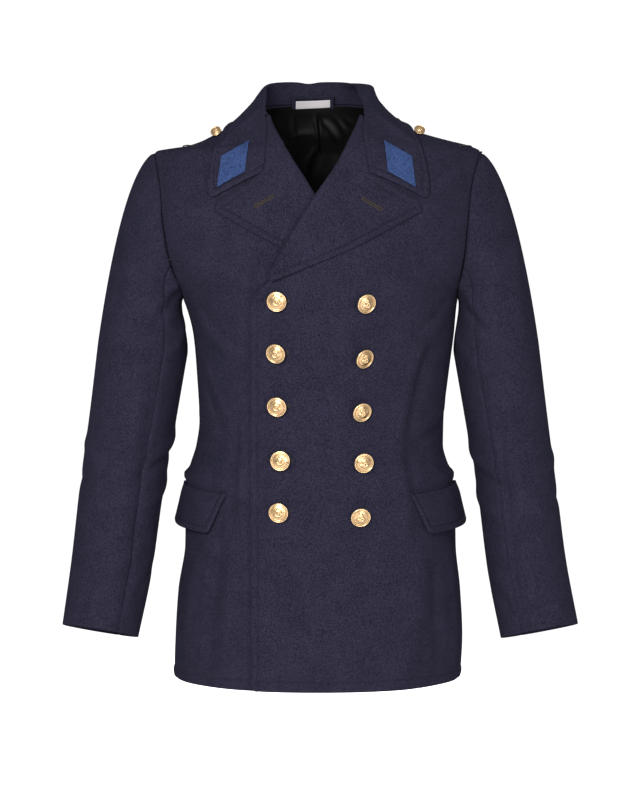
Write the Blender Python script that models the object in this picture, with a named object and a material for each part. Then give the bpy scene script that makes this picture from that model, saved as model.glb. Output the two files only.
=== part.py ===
"""Short double-breasted naval coat of heavy wool, worn out by no visible wearer.

The coat hangs from the wearer's shoulders. The origin is the middle of the neck hole at the
height of the shoulder seams' inner ends, +Z is up, the front faces -Y, and +X is the wearer's
left. Tables and sizes are in millimetres, and a mesh is written in metres.

Every cloth piece is a wall about a middle surface. The torso is a stack of rings: at a height,
(|x| / half width) ** n + (|y| / depth) ** n = 1, with the sizes read from the TORSO table.
A point of a panel is named by its turn round that ring and its height, and what lies on a
panel is the same point moved out along the ring's normal.
"""

import math

import bmesh
import bpy
import numpy as np

MM = 0.001

# Driving sizes
CLOTH = 2.4  # heavy melton with its canvas and facing
SEAM = 0.3  # gap between sewn pieces
LAYER_GAP = 0.9  # gap between layers that lie on each other
LAYER = CLOTH + LAYER_GAP
HEM = -729.5
UNDERARM = -243.0
SHOULDER_POINT = -56.0
ROLL_LIFT = 4.4  # how far the soft roll of a lapel stands off the front
ROLL_REACH = 15.0
LINING = 1.0
LINING_SLACK = 7.0  # how much deeper the lining hangs under the shoulder's bend
FLAP_CLOTH = 3.0
NECK_RADIUS = 150.0  # turns a ring's turn into a length, to space the rows by
BUTTON = 25.0
SHOULDER_BUTTON = 14.5


def table(columns, *rows):
    """Named columns of a short table."""
    values = np.array(rows, float)
    return {name: values[:, i] for i, name in enumerate(columns.split())}


# Torso rings, from the hem up. Right and left are the wearer's half widths.
TORSO = table(
    "height right left front back squareness",
    (-730, 187, 184, 131, 122, 2.25),
    (-680, 185, 186, 130, 122, 2.25),
    (-620, 181, 183, 128, 120, 2.25),
    (-560, 172, 177, 125, 116, 2.2),
    (-500, 171, 176, 122, 109, 2.2),
    (-462, 166, 168, 119, 100, 2.15),
    (-431, 157, 160, 117, 94, 2.1),
    (-400, 153, 160.5, 116, 92, 2.1),
    (-338, 156, 167, 121, 98, 2.1),
    (-291, 160, 173, 127, 107, 2.1),
    (-243, 173, 178, 129, 117, 2.1),
    (-205, 198, 195, 128, 122, 2.1),
    (-172, 213, 206, 125, 123, 2.05),
    (-130, 220, 211, 119, 121, 2.0),
    (-92, 218, 211, 109, 114, 1.9),
    (-56, 210, 208, 96, 104, 1.75),
    (-48, 167, 193, 92, 101, 1.72),
    (-42, 149, 169, 89, 98, 1.7),
    (-36, 137, 146, 85, 95, 1.7),
    (-28, 121, 120, 80, 91, 1.7),
    (-20, 104, 103, 75, 87, 1.7),
    (-10, 90, 90, 69, 82, 1.7),
    (0, 80, 80, 62, 78, 1.75),
    (12, 71, 71, 52, 75, 1.8),
    (45, 60, 60, 38, 68, 1.9),
)

# The cloth above each pocket flap folds on itself: turn and height are its middle.
SIDE_FOLDS = table(
    "turn height wide tall proud",
    (-86, -470, 24, 6.5, 6.0),
    (86, -469, 24, 6.5, 5.0),
)

# How far across the wearer's own side the roll line and the edges stand. Lean moves the
# neck opening to the wearer's right.
ROLL = table(
    "height across lean",
    (-216, -58.5, 0),
    (-164, -29.5, -1),
    (-113, 3.5, -2),
    (-100, 13, -2.4),
    (-73, 30.5, -3),
    (-41, 47.5, -4.2),
    (-28, 53, -4.4),
    (-13, 57.5, -4.6),
)
FRONT_EDGE = table(
    "height across",
    (-728, -84),
    (-300, -84),
    (-256, -83.4),
    (-238, -79.5),
    (-223, -66),
    (-216, -58.5),
)
LAPEL_LOWER = table(
    "height across",
    (-216.5, -56),
    (-203, -22),
    (-179, 36),
    (-131, 126),
)
GORGE = table(
    "height across",
    (-83, 66.5),
    (-75, 64.8),
    (-53, 61.6),
    (-30, 59.4),
    (-12, 60.4),
)
LAPEL_TIP = (126.5, -122.0)
NOTCH_HEIGHT = -83.0

# The neck seam runs from the nape to the top of the gorge.
NECK = table(
    "station turn height",
    (0.0, 180, 9),
    (0.18, 150, 8),
    (0.36, 118, 4),
    (0.52, 92, 0),
    (0.66, 67, -5),
    (0.80, 46.5, -12),
)
# The collar's roll line in space, and its outer edge on the torso, from the centre back.
# The edge lies behind the shoulder's ridge up to the station where it crosses it.
COLLAR = table(
    "station across back height edge_across edge_height edge_behind",
    (0.0, 0, 86, 38, 0, -24, 1),
    (0.18, 34, 79, 37.5, 50, -26, 1),
    (0.36, 56, 50, 34, 92, -27, 1),
    (0.52, 62, 13, 27, 111, -20, 0),
    (0.60, 61.6, -6.6, 20, 117, -29, 0),
    (0.66, 61, -22, 13, 123, -43, 0),
    (0.73, 60, -38, 4.5, 128, -57, 0),
    (0.80, 58.5, -53, -6, 133, -74, 0),
    (0.91, 60, -95, -50, 136, -98, 0),
    (1.0, 62, -100, -82, 134, -116, 0),
)
COLLAR_LEAN = -6.5
LEFT_TUCK = 6.0  # how much nearer the neck the collar's left side stands
GORGE_STATION = 0.80
SHOULDER_STATION = 0.52  # where the shoulder seams meet the neck seam
FRONT_NECK_STATION = 0.79  # where the fronts' neckline starts
RIDGE_STATION = 0.52  # where the collar's edge crosses the shoulder's ridge

# Sleeve sections along the arm, from the cuff to the upper arm.
SLEEVE = table(
    "height right_across right_width left_across left_width forward depth",
    (-665, 279, 48, 282.5, 49, 56, 50),
    (-583, 265.5, 51, 267.5, 49.5, 37, 54),
    (-491, 254.5, 52.5, 256.5, 49.5, 18, 59),
    (-399, 240.5, 54.5, 243, 51.5, 5, 63),
    (-307, 227, 57, 229.5, 54, -2, 66),
)
FRONT_SEAM = math.radians(33)
BACK_SEAM = math.radians(155)

# Button rows: wearer's right and left column, across and height, and how many degrees each
# button tips on its shank towards a direction, 0 for the wearer's left and 90 for up.
BUTTONS = table(
    "right_across right_height right_tip right_towards"
    " left_across left_height left_tip left_towards",
    (-50.2, -241.1, 5, -70, 56.0, -242.6, 22, -48),
    (-50.5, -304.6, 9, -130, 53.3, -310.3, 25, -28),
    (-49.9, -371.6, 7, -100, 51.3, -377.5, 19, -50),
    (-46.4, -440.5, 4, -60, 54.5, -442.6, 12, -75),
    (-48.4, -504.0, 9, -95, 51.3, -508.4, 21, -92),
)
BUTTON_SHANK = 4.6  # from the cloth to the back of the head
SHOULDER_SHANK = 4.4
SHOULDER_BUTTONS = {"left": (127.0, -33.0), "right": (-128.0, -34.0)}  # across and height
SHANK_WIDTH = 0.22  # of the button's width

# Pocket flap: its front end slants back, and its lower rear corner stands off the coat.
FLAP = {
    "top": -486.0,
    "drop": 49.0,
    "front_top": 40.0,
    "front_bottom": 49.5,
    "rear": 94.0,
    "stand_front": 3.0,
    "stand_rear": 10.0,
    "left_shift": -1.8,
    "right_shift": 0.8,
}
# Rhombus patch corners as the front view shows them: across and height.
PATCH = table(
    "across height",
    (84, -44),
    (118, -63.4),
    (122.5, -101),
    (88.5, -82),
)

PATCH_CLEAR = 1.6  # from the collar's face to the middle of the patch cloth

# What is sewn to the lining at the back neck.
NECK_TRIM_DEPTH = 5.4
LABEL = {"right": -32.0, "left": 16.5, "low_end": 9.0, "high_end": 11.0, "tall": 9.0, "thick": 1.0}
LOOP = {"clear": 1.2, "tape": 4.0, "end": 4.0, "thick": 1.2}


def smooth(at, knots, values):
    """Monotone cubic curve through a table's rows, which never swings past a row's value."""
    at = np.clip(np.asarray(at, float), knots[0], knots[-1])
    step = np.diff(knots)
    slope = np.diff(values) / step
    tangent = np.zeros_like(values)
    tangent[0] = slope[0]
    tangent[-1] = slope[-1]
    for i in range(1, len(knots) - 1):
        if slope[i - 1] * slope[i] > 0:
            before = 2 * step[i] + step[i - 1]
            after = step[i] + 2 * step[i - 1]
            tangent[i] = (before + after) / (before / slope[i - 1] + after / slope[i])
    i = np.clip(np.searchsorted(knots, at, side="right") - 1, 0, len(knots) - 2)
    t = (at - knots[i]) / step[i]
    return (
        (1 + 2 * t) * (1 - t) ** 2 * values[i]
        + t * (1 - t) ** 2 * step[i] * tangent[i]
        + t * t * (3 - 2 * t) * values[i + 1]
        + t * t * (t - 1) * step[i] * tangent[i + 1]
    )


def read(source, column, at, by="height"):
    """A column of a table at a height, or at a station of it."""
    return smooth(at, source[by], source[column])


def ease(value, start, end):
    """0 before start, 1 after end, and a soft step between them."""
    t = np.clip((value - start) / (end - start), 0, 1)
    return t * t * (3 - 2 * t)


def unit(vectors):
    return vectors / np.linalg.norm(vectors, axis=-1, keepdims=True)


def hermite(start, leave, end, arrive, t):
    """Curve from start to end whose tangents there are leave and arrive."""
    return (
        (1 + 2 * t) * (1 - t) ** 2 * start
        + t * (1 - t) ** 2 * leave
        + t * t * (3 - 2 * t) * end
        + t * t * (t - 1) * arrive
    )


def ring_point(turn, height):
    """Point of the torso at a turn from the front towards the wearer's left."""
    turn, height = np.broadcast_arrays(np.asarray(turn, float), np.asarray(height, float))
    power = 2 / read(TORSO, "squareness", height)
    side = np.sin(turn)
    fore = np.cos(turn)
    half = np.where(side >= 0, read(TORSO, "left", height), read(TORSO, "right", height))
    depth = np.where(fore >= 0, read(TORSO, "front", height), read(TORSO, "back", height))
    x = half * np.sign(side) * np.abs(side) ** power
    y = -depth * np.sign(fore) * np.abs(fore) ** power
    return np.stack([x, y, height], -1)


def ring_level(points):
    """0 on the torso's rings, above 0 outside them."""
    x, y, z = np.moveaxis(points, -1, 0)
    power = read(TORSO, "squareness", z)
    half = np.where(x >= 0, read(TORSO, "left", z), read(TORSO, "right", z))
    depth = np.where(y <= 0, read(TORSO, "front", z), read(TORSO, "back", z))
    reach = (np.abs(x) / half) ** power + (np.abs(y) / depth) ** power
    return reach ** (1 / power) - 1


def ring_slope(points):
    """Gradient of ring_level by small steps."""
    step = 0.6
    parts = []
    for axis in np.eye(3):
        parts.append(ring_level(points + axis * step) - ring_level(points - axis * step))
    return np.stack(parts, -1) / (2 * step)


def outward(points):
    return unit(ring_slope(points))


def keep_off(points, clear):
    """Moves the points that are nearer the torso than clear out to it."""
    for _ in range(4):
        slope = ring_slope(points)
        length = np.linalg.norm(slope, axis=-1)
        short = np.maximum(clear - ring_level(points) / length, 0)
        points = points + slope / length[..., None] * short[..., None]
    return points


def turn_at(x, height):
    """Turn of the torso's front point that is x across."""
    x, height = np.broadcast_arrays(np.asarray(x, float), np.asarray(height, float))
    half = np.where(x >= 0, read(TORSO, "left", height), read(TORSO, "right", height))
    power = read(TORSO, "squareness", height) / 2
    return np.sign(x) * np.arcsin(np.clip(np.abs(x) / half, 0, 1) ** power)


def folds(turn, height):
    """How far the largest folds of the torso's cloth stand out."""
    proud = np.zeros(np.broadcast(turn, height).shape)
    for i in range(len(SIDE_FOLDS["turn"])):
        across = (np.degrees(turn) - SIDE_FOLDS["turn"][i]) / SIDE_FOLDS["wide"][i]
        up = (height - SIDE_FOLDS["height"][i]) / SIDE_FOLDS["tall"][i]
        proud = proud + SIDE_FOLDS["proud"][i] * np.exp(-(across**4) - up**2)
    return proud


def on_torso(turn, height, out):
    """Torso point moved out along its normal, with the largest folds."""
    points = ring_point(turn, height)
    return points + outward(points) * (out + folds(turn, height))[..., None]


def lap_lift(side, x, height):
    """How far a front stands off because of the front and lapel under it."""
    if side < 0:
        return np.zeros(np.broadcast(x, height).shape)
    under_edge = np.where(
        height < -216,
        84 + 0 * height,
        -read(ROLL, "across", height) + read(ROLL, "lean", height),
    )
    layers = LAYER * (1 + ease(height, -285, -225))
    return layers * (1 - ease(x - under_edge, 8, 72))


def front_point(side, x, height, out=0.0):
    """Point of a front at x across, moved out of its own middle surface."""
    turn = turn_at(x, height)
    return on_torso(turn, height, out + lap_lift(side, x, height))


def wall(name, middle, thickness, colour, cells=None, roughness=0.9, metallic=0.0):
    """Closed cloth wall: the middle grid moved half its thickness to both sides.

    Faces look the way that rows crossed with columns point. Cells left out leave a notch."""
    rows, columns = middle.shape[:2]
    if cells is None:
        cells = np.ones((rows - 1, columns - 1), bool)
    a = middle[:-1, :-1]
    b = middle[:-1, 1:]
    c = middle[1:, 1:]
    d = middle[1:, :-1]
    facing = np.cross(c - a, b - d) * cells[..., None]
    normal = np.zeros_like(middle)
    normal[:-1, :-1] += facing
    normal[:-1, 1:] += facing
    normal[1:, 1:] += facing
    normal[1:, :-1] += facing
    length = np.linalg.norm(normal, axis=-1, keepdims=True)
    normal = normal / np.where(length > 0, length, 1)
    outer = middle + normal * thickness / 2
    inner = middle - normal * thickness / 2

    mesh = bmesh.new()
    made = {}

    def corner(layer, i, j):
        if (layer, i, j) not in made:
            point = (outer if layer == 0 else inner)[i, j] * MM
            made[layer, i, j] = mesh.verts.new(point)
        return made[layer, i, j]

    borders = {}
    for i in range(rows - 1):
        for j in range(columns - 1):
            if not cells[i, j]:
                continue
            loop = [(i, j), (i + 1, j), (i + 1, j + 1), (i, j + 1)]
            mesh.faces.new([corner(0, *at) for at in loop])
            mesh.faces.new([corner(1, *at) for at in reversed(loop)])
            for start, end in zip(loop, loop[1:] + loop[:1]):
                if (end, start) in borders:
                    del borders[end, start]
                else:
                    borders[start, end] = True
    for start, end in borders:
        mesh.faces.new([corner(0, *end), corner(0, *start), corner(1, *start), corner(1, *end)])
    return finish(name, mesh, colour, roughness, metallic)


def finish(name, mesh, colour, roughness, metallic):
    """Writes a bmesh to an object with its own material, shaded smooth."""
    bmesh.ops.triangulate(mesh, faces=mesh.faces[:])
    data = bpy.data.meshes.new(name)
    mesh.to_mesh(data)
    mesh.free()
    data.shade_smooth()
    data.set_sharp_from_angle(angle=math.radians(45))
    piece = bpy.data.objects.new(name, data)
    bpy.context.scene.collection.objects.link(piece)
    material = bpy.data.materials.new(name)
    material.use_nodes = True
    shader = material.node_tree.nodes["Principled BSDF"]
    shader.inputs["Base Color"].default_value = (*colour, 1)
    shader.inputs["Roughness"].default_value = roughness
    shader.inputs["Metallic"].default_value = metallic
    data.materials.append(material)
    return piece


def turned(grid, side):
    """The same grid with its columns turned round on the wearer's left, so faces look out."""
    return grid[:, ::-1] if side > 0 else grid


NAVY = (0.029, 0.028, 0.045)
LINING_BLACK = (0.004, 0.004, 0.004)
PATCH_BLUE = (0.05, 0.12, 0.3)
GOLD = (0.75, 0.52, 0.2)
LABEL_WHITE = (0.8, 0.78, 0.78)

LOWER_ROWS = np.array(
    [
        HEM,
        -700,
        -655,
        -610,
        -565,
        -535,
        -508,
        -488,
        -479,
        -470,
        -461,
        -450,
        -425,
        -395,
        -362,
        -328,
        -296,
        -268,
    ]
)
UPPER_ROWS = 12
SPINE_ROWS = 5
PANEL_COLUMNS = 10
LINING_FIRST_ROW = 13  # the lining is built from the waist up, where it can be seen


def side_seam(height):
    """Turn of the side seam, which swings forward below the pockets."""
    return np.radians(88 - 13 * ease(-height, 545, 720))


def armhole(around):
    """Turn and height of the armhole at an angle from its top over the front."""
    middle = (SHOULDER_POINT + UNDERARM) / 2
    tall = (SHOULDER_POINT - UNDERARM) / 2
    across = np.sin(around)
    reach = np.where(across > 0, 26, 24)
    turn = 90 - reach * np.sign(across) * np.abs(across) ** 0.85
    return np.radians(turn), middle + tall * np.cos(around)


def draw_in(grid, first, last, rows=False):
    """Pulls a grid's first and last columns, or rows, in by half a seam's gap."""
    grid = np.swapaxes(grid, 0, 1).copy() if rows else grid.copy()
    if first:
        grid[:, 0] += unit(grid[:, 1] - grid[:, 0]) * SEAM * 0.8
    if last:
        grid[:, -1] += unit(grid[:, -2] - grid[:, -1]) * SEAM * 0.8
    return np.swapaxes(grid, 0, 1) if rows else grid


def share_out(points, count):
    """count points evenly spaced along a line of points."""
    along = np.concatenate([[0], np.cumsum(np.linalg.norm(np.diff(points, axis=0), axis=1))])
    even = np.linspace(0, along[-1], count)
    return np.stack([np.interp(even, along, points[:, i]) for i in range(points.shape[1])], 1)


def outer_line(front):
    """Turn and height down the side seam and round the armhole, on the left."""
    around = np.linspace(math.pi, 0 if front else 2 * math.pi, UPPER_ROWS + 1)
    turn, height = armhole(around)
    turn = np.concatenate([side_seam(LOWER_ROWS), turn])
    height = np.concatenate([LOWER_ROWS, height])
    return turn, height


def front_inner_line(side):
    """Turn and height up the front edge, the roll line and the neckline."""
    low = LOWER_ROWS
    edge_x = side * read(FRONT_EDGE, "across", low)
    break_heights = np.array([-243, -236, -229, -222, -216])
    curve_x = side * read(FRONT_EDGE, "across", break_heights)
    roll_heights = np.linspace(-210, -17, 30)
    roll_x = side * read(ROLL, "across", roll_heights) + read(ROLL, "lean", roll_heights)
    x = np.concatenate([curve_x, roll_x])
    height = np.concatenate([break_heights, roll_heights])
    points = np.stack([turn_at(x, height) * side * NECK_RADIUS, height], 1)
    stations = np.linspace(FRONT_NECK_STATION, SHOULDER_STATION, 8)
    neck_turn = np.radians(read(NECK, "turn", stations, "station"))
    neck_height = read(NECK, "height", stations, "station")
    neck = np.stack([neck_turn * NECK_RADIUS, neck_height], 1)
    upper = share_out(np.concatenate([points, neck]), UPPER_ROWS + 1)
    turn = np.concatenate([turn_at(edge_x, low) * side, upper[:, 0] / NECK_RADIUS])
    return turn, np.concatenate([low, upper[:, 1]])


def front(side):
    """A front: hem to shoulder seam, front edge and roll line to side seam and armhole."""
    inner_turn, inner_height = front_inner_line(side)
    outer_turn, outer_height = outer_line(True)
    share = np.linspace(0, 1, PANEL_COLUMNS + 1)
    turn = inner_turn[:, None] * (1 - share) + outer_turn[:, None] * share
    height = inner_height[:, None] * (1 - share) + outer_height[:, None] * share
    turn = turn * side
    x = ring_point(turn, height)[..., 0]
    grid = on_torso(turn, height, lap_lift(side, x, height))
    grid = draw_in(grid, True, True)
    grid = draw_in(grid, False, True, rows=True)
    name = "front_left" if side > 0 else "front_right"
    wall(name, turned(grid, side), CLOTH, NAVY)
    return grid


def back_lines():
    """Turn and height of the centre back, up to the nape and round the back neck."""
    stations = np.linspace(0, SHOULDER_STATION, UPPER_ROWS - SPINE_ROWS + 1)
    neck_turn = np.radians(read(NECK, "turn", stations, "station"))
    neck_height = read(NECK, "height", stations, "station")
    spine = np.linspace(UNDERARM, neck_height[0], SPINE_ROWS + 1)[:-1]
    turn = np.concatenate([np.full(len(LOWER_ROWS) + SPINE_ROWS, math.pi), neck_turn])
    return turn, np.concatenate([LOWER_ROWS, spine, neck_height])


def back_grid(side):
    """Turns and heights over a back, from the side seam to the centre seam."""
    outer_turn, outer_height = outer_line(False)
    inner_turn, inner_height = back_lines()
    share = np.linspace(0, 1, PANEL_COLUMNS + 1)
    turn = outer_turn[:, None] * (1 - share) + inner_turn[:, None] * share
    height = outer_height[:, None] * (1 - share) + inner_height[:, None] * share
    return turn * side, height


def back(side):
    """A back: hem to shoulder seam, side seam and armhole to centre seam and neckline."""
    turn, height = back_grid(side)
    grid = on_torso(turn, height, np.zeros_like(turn))
    grid = draw_in(grid, True, True)
    grid[:, -1, 0] = side * np.maximum(side * grid[:, -1, 0], 0.5)
    grid = draw_in(grid, False, True, rows=True)
    name = "back_left" if side > 0 else "back_right"
    wall(name, turned(grid, side), CLOTH, NAVY)


def lining_back():
    """The black back lining from the waist up, inside both backs, in one width."""
    side_turn, side_height = outer_line(False)
    side_line = np.stack([side_turn, side_height], 1)[LINING_FIRST_ROW:]
    rows = len(side_line)
    spine_height = np.linspace(side_height[LINING_FIRST_ROW], NECK["height"][0], rows)
    spine = np.stack([np.full(rows, math.pi), spine_height], 1)
    stations = np.linspace(SHOULDER_STATION, 0, 7)
    neck_turn = np.radians(read(NECK, "turn", stations, "station"))
    neck = np.stack([neck_turn, read(NECK, "height", stations, "station")], 1)
    shoulder = share_out(np.stack([side_line[-1], neck[0]]), 5)
    top = np.concatenate([shoulder[:-1], neck])
    across = np.linspace(0, 1, len(top))[None, :, None]
    up = np.linspace(0, 1, rows)[:, None, None]
    base = side_line[0] * (1 - across) + spine[0] * across
    corners = base * (1 - up) + (side_line[-1] * (1 - across) + spine[-1] * across) * up
    span = side_line[:, None] * (1 - across) + spine[:, None] * across
    cut = span + base * (1 - up) + top * up - corners
    below_shoulder = ease(cut[..., 1], -125, -75) * (1 - ease(cut[..., 1], -32, -6))
    depth = -(CLOTH / 2 + 1.8 * LAYER_GAP + LINING / 2) - LINING_SLACK * below_shoulder
    halves = [on_torso(cut[..., 0] * side, cut[..., 1], depth) for side in (-1, 1)]
    whole = np.concatenate([halves[0], halves[1][:, -2::-1]], 1)
    whole = draw_in(whole, True, True)
    whole[-1] += unit(whole[-2] - whole[-1])
    wall("lining_back", whole, LINING, LINING_BLACK, roughness=0.4)


def lapel(side):
    """A lapel: the front's upper edge turned back along the roll line.

    Rows run from the gorge's top down the roll line to the break. The first columns are the
    half turn at the roll, and the part above the notch has only the columns inside the gorge."""
    strip_rows = 4
    main_rows = 11
    strip_columns = 4
    columns = 10
    roll_top = -13.0
    notch_roll = -64.5
    gap = SEAM + 0.4

    roll_z = np.concatenate(
        [
            np.linspace(roll_top - 9, notch_roll, strip_rows, endpoint=False),
            np.linspace(notch_roll, -213.0, main_rows),
        ]
    )
    clear = 0.4 * (1 - ease(roll_z, -190, -150))
    roll_x = read(ROLL, "across", roll_z) - clear
    share = np.linspace(0, 1, main_rows)
    lower_z = LAPEL_TIP[1] - 9 + (-216.0 - LAPEL_TIP[1] + 9) * share[1:]
    outer_z = np.concatenate([[LAPEL_TIP[1]], lower_z])
    outer_x = np.concatenate([[LAPEL_TIP[0]], read(LAPEL_LOWER, "across", lower_z)])

    rows = len(roll_z)
    x = np.zeros((rows, columns + 1))
    z = np.zeros((rows, columns + 1))
    for i in range(rows):
        if i < strip_rows:
            step = i / strip_rows
            gorge_z = roll_top - 12 + (NOTCH_HEIGHT - roll_top + 12) * step
            gorge_x = read(GORGE, "across", gorge_z) - gap - 1.6 * (1 - step)
            part = np.linspace(0, 1, strip_columns + 1)
            x[i, : strip_columns + 1] = roll_x[i] + (gorge_x - roll_x[i]) * part
            z[i, : strip_columns + 1] = roll_z[i] + (gorge_z - roll_z[i]) * part
            x[i, strip_columns + 1 :] = x[i, strip_columns]
            z[i, strip_columns + 1 :] = z[i, strip_columns]
        else:
            notch = (read(GORGE, "across", NOTCH_HEIGHT) - roll_x[strip_rows]) / (
                LAPEL_TIP[0] - roll_x[strip_rows]
            )
            part = np.concatenate(
                [
                    np.linspace(0, notch, strip_columns + 1),
                    np.linspace(notch, 1, columns - strip_columns + 1)[1:],
                ]
            )
            k = i - strip_rows
            x[i] = roll_x[i] + (outer_x[k] - roll_x[i]) * part
            z[i] = roll_z[i] + (outer_z[k] - roll_z[i]) * part

    lean = read(ROLL, "lean", z) * (1 - ease(x, 60, 120))
    world_x = side * x + lean
    from_roll = np.hypot(x - x[:, :1], z - z[:, :1])
    lift = ROLL_LIFT * (1 if side > 0 else ease(z[:, :1], -118, -88))
    lift = lift * (1 - 0.5 * ease(z[:, :1], -50, -13))
    out = LAYER + lift * np.exp(-((from_roll / ROLL_REACH) ** 2))
    top = front_point(side, world_x, z, out)

    towards = unit(top[:, 0] - top[:, 1])
    normal = outward(top[:, 0])
    radius = (LAYER + lift) / 2
    centre = top[:, 0] - normal * radius
    angles = np.radians([150, 115, 75, 38])
    turn_columns = []
    for angle in angles:
        turn_columns.append(
            centre + normal * radius * math.cos(angle) + towards * radius * math.sin(angle)
        )
    middle = np.concatenate([np.stack(turn_columns, 1), top], 1)
    cells = np.ones((rows - 1, middle.shape[1] - 1), bool)
    cells[:strip_rows, len(angles) + strip_columns :] = False
    name = "lapel_left" if side > 0 else "lapel_right"
    middle = middle[::-1]
    cells = cells[::-1]
    if side > 0:
        middle = middle[:, ::-1]
        cells = cells[:, ::-1]
    wall(name, middle, CLOTH, NAVY, cells)


def collar_half(side, stations, stand_columns, fall_columns):
    """Middle surface of half the collar, from the neck seam over the roll to the edge."""
    seam_station = np.minimum(stations, GORGE_STATION)
    seam_turn = np.radians(read(NECK, "turn", seam_station, "station")) * side
    seam = ring_point(seam_turn, read(NECK, "height", seam_station, "station"))
    normal = outward(seam)

    roll = np.stack(
        [
            side * read(COLLAR, "across", stations, "station"),
            smooth(stations, COLLAR["station"], COLLAR["back"]),
            read(COLLAR, "height", stations, "station"),
        ],
        1,
    )
    roll[:, 0] += COLLAR_LEAN
    if side > 0:
        roll[:, 0] -= LEFT_TUCK * ease(stations, 0.1, 0.3) * (1 - ease(stations, 0.52, 0.72))
    past = stations > GORGE_STATION
    if past.any():
        share = (stations[past] - GORGE_STATION) / (1 - GORGE_STATION)
        gorge_z = -12 + (NOTCH_HEIGHT + 12) * share
        gorge_x = side * read(GORGE, "across", gorge_z) + read(ROLL, "lean", gorge_z)
        off_roll = read(GORGE, "across", gorge_z) - read(ROLL, "across", gorge_z)
        lift = ROLL_LIFT * (1 - 0.5 * ease(gorge_z, -50, -13))
        out = LAYER + 0.4 + lift * np.exp(-((off_roll / ROLL_REACH) ** 2))
        roll[past] = front_point(side, gorge_x, gorge_z, out)
    start = np.array([GORGE_STATION])
    start_x = side * read(GORGE, "across", [-12.0]) + read(ROLL, "lean", [-12.0])
    start_out = LAYER + 0.4 + ROLL_LIFT * 0.5
    joined = front_point(side, start_x, np.array([-12.0]), start_out)[0]
    off = np.array(
        [
            side * read(COLLAR, "across", start, "station")[0] + COLLAR_LEAN,
            smooth(start, COLLAR["station"], COLLAR["back"])[0],
            read(COLLAR, "height", start, "station")[0],
        ]
    )
    roll[~past] += (joined - off) * ease(stations[~past], 0.62, GORGE_STATION)[:, None]

    across = side * COLLAR["edge_across"]
    row_turn = np.abs(turn_at(across, COLLAR["edge_height"]))
    row_turn = np.where(COLLAR["edge_behind"] > 0, math.pi - row_turn, row_turn)
    edge_turn = smooth(stations, COLLAR["station"], row_turn)
    edge_x = side * read(COLLAR, "edge_across", stations, "station")
    edge_height = read(COLLAR, "edge_height", stations, "station")
    ahead = np.abs(turn_at(edge_x, edge_height))
    edge_turn = np.where(stations >= RIDGE_STATION, ahead, edge_turn) * side
    edge = ring_point(edge_turn, edge_height)
    edge_normal = outward(edge)
    edge = edge + edge_normal * (LAYER + 0.75)

    away = edge - roll
    flat = away * [1, 1, 0]
    leave = unit(flat) * 18
    laid = away - edge_normal * np.sum(away * edge_normal, 1, keepdims=True)
    calm = ease(stations, 0.56, 0.84)[:, None]
    leave = leave * (1 - calm) + away * calm
    arrive = laid * (0.9 + 0.1 * calm)

    columns = []
    height = np.linalg.norm(roll - seam, axis=1)[:, None]
    base = seam + np.array([0, 0, 1]) * (CLOTH * 0.5 + SEAM + 0.3) + normal * 0.4
    rise = np.array([0.0, 0.0, 1.0]) * height * 1.15
    for t in np.linspace(0, 1, stand_columns + 1)[:-1]:
        columns.append(hermite(base, rise, roll, unit(flat) * height * 0.5, t))
    for t in np.linspace(0, 1, fall_columns + 1):
        columns.append(hermite(roll, leave, edge, arrive, t))
    grid = np.stack(columns, 1)
    fall = keep_off(grid[:, stand_columns + 1 :], LAYER + 0.75)
    grid[:, stand_columns + 1 :] = fall
    return grid


def collar():
    """The collar, one piece from one notch round the back neck to the other."""
    stand_columns = 5
    fall_columns = 7
    stations = np.concatenate(
        [np.linspace(0, GORGE_STATION, 13), np.linspace(GORGE_STATION, 1, 5)[1:]]
    )
    left = collar_half(1, stations, stand_columns, fall_columns)
    right = collar_half(-1, stations, stand_columns, fall_columns)
    left[0] = right[0] = (left[0] + right[0]) / 2
    whole = np.concatenate([right[::-1], left[1:]], 0)
    cells = np.ones((len(whole) - 1, whole.shape[1] - 1), bool)
    ends = int(np.sum(stations > GORGE_STATION))
    cells[:ends, :stand_columns] = False
    cells[-ends:, :stand_columns] = False
    wall("collar", whole, CLOTH, NAVY, cells)
    return {1: left, -1: right}, stand_columns


def close_points(grid):
    """Points all over a grid's cells, 24 to a cell's side."""
    fine = 24
    rows = np.linspace(0, len(grid) - 1, (len(grid) - 1) * fine + 1)
    i = np.minimum(rows.astype(int), len(grid) - 2)
    a = (rows - i)[:, None, None]
    dense = grid[i] * (1 - a) + grid[i + 1] * a
    columns = np.linspace(0, dense.shape[1] - 1, (dense.shape[1] - 1) * fine + 1)
    j = np.minimum(columns.astype(int), dense.shape[1] - 2)
    b = (columns - j)[None, :, None]
    return (dense[:, j] * (1 - b) + dense[:, j + 1] * b).reshape(-1, 3)


def behind(points, wanted):
    """The points nearest to wanted places across and in height, put exactly there."""
    flat = wanted.reshape(-1, 2)
    nearest = [((points[:, [0, 2]] - place) ** 2).sum(1).argmin() for place in flat]
    found = points[nearest].reshape(wanted.shape[:-1] + (3,))
    found[..., [0, 2]] = wanted
    return found


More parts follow.
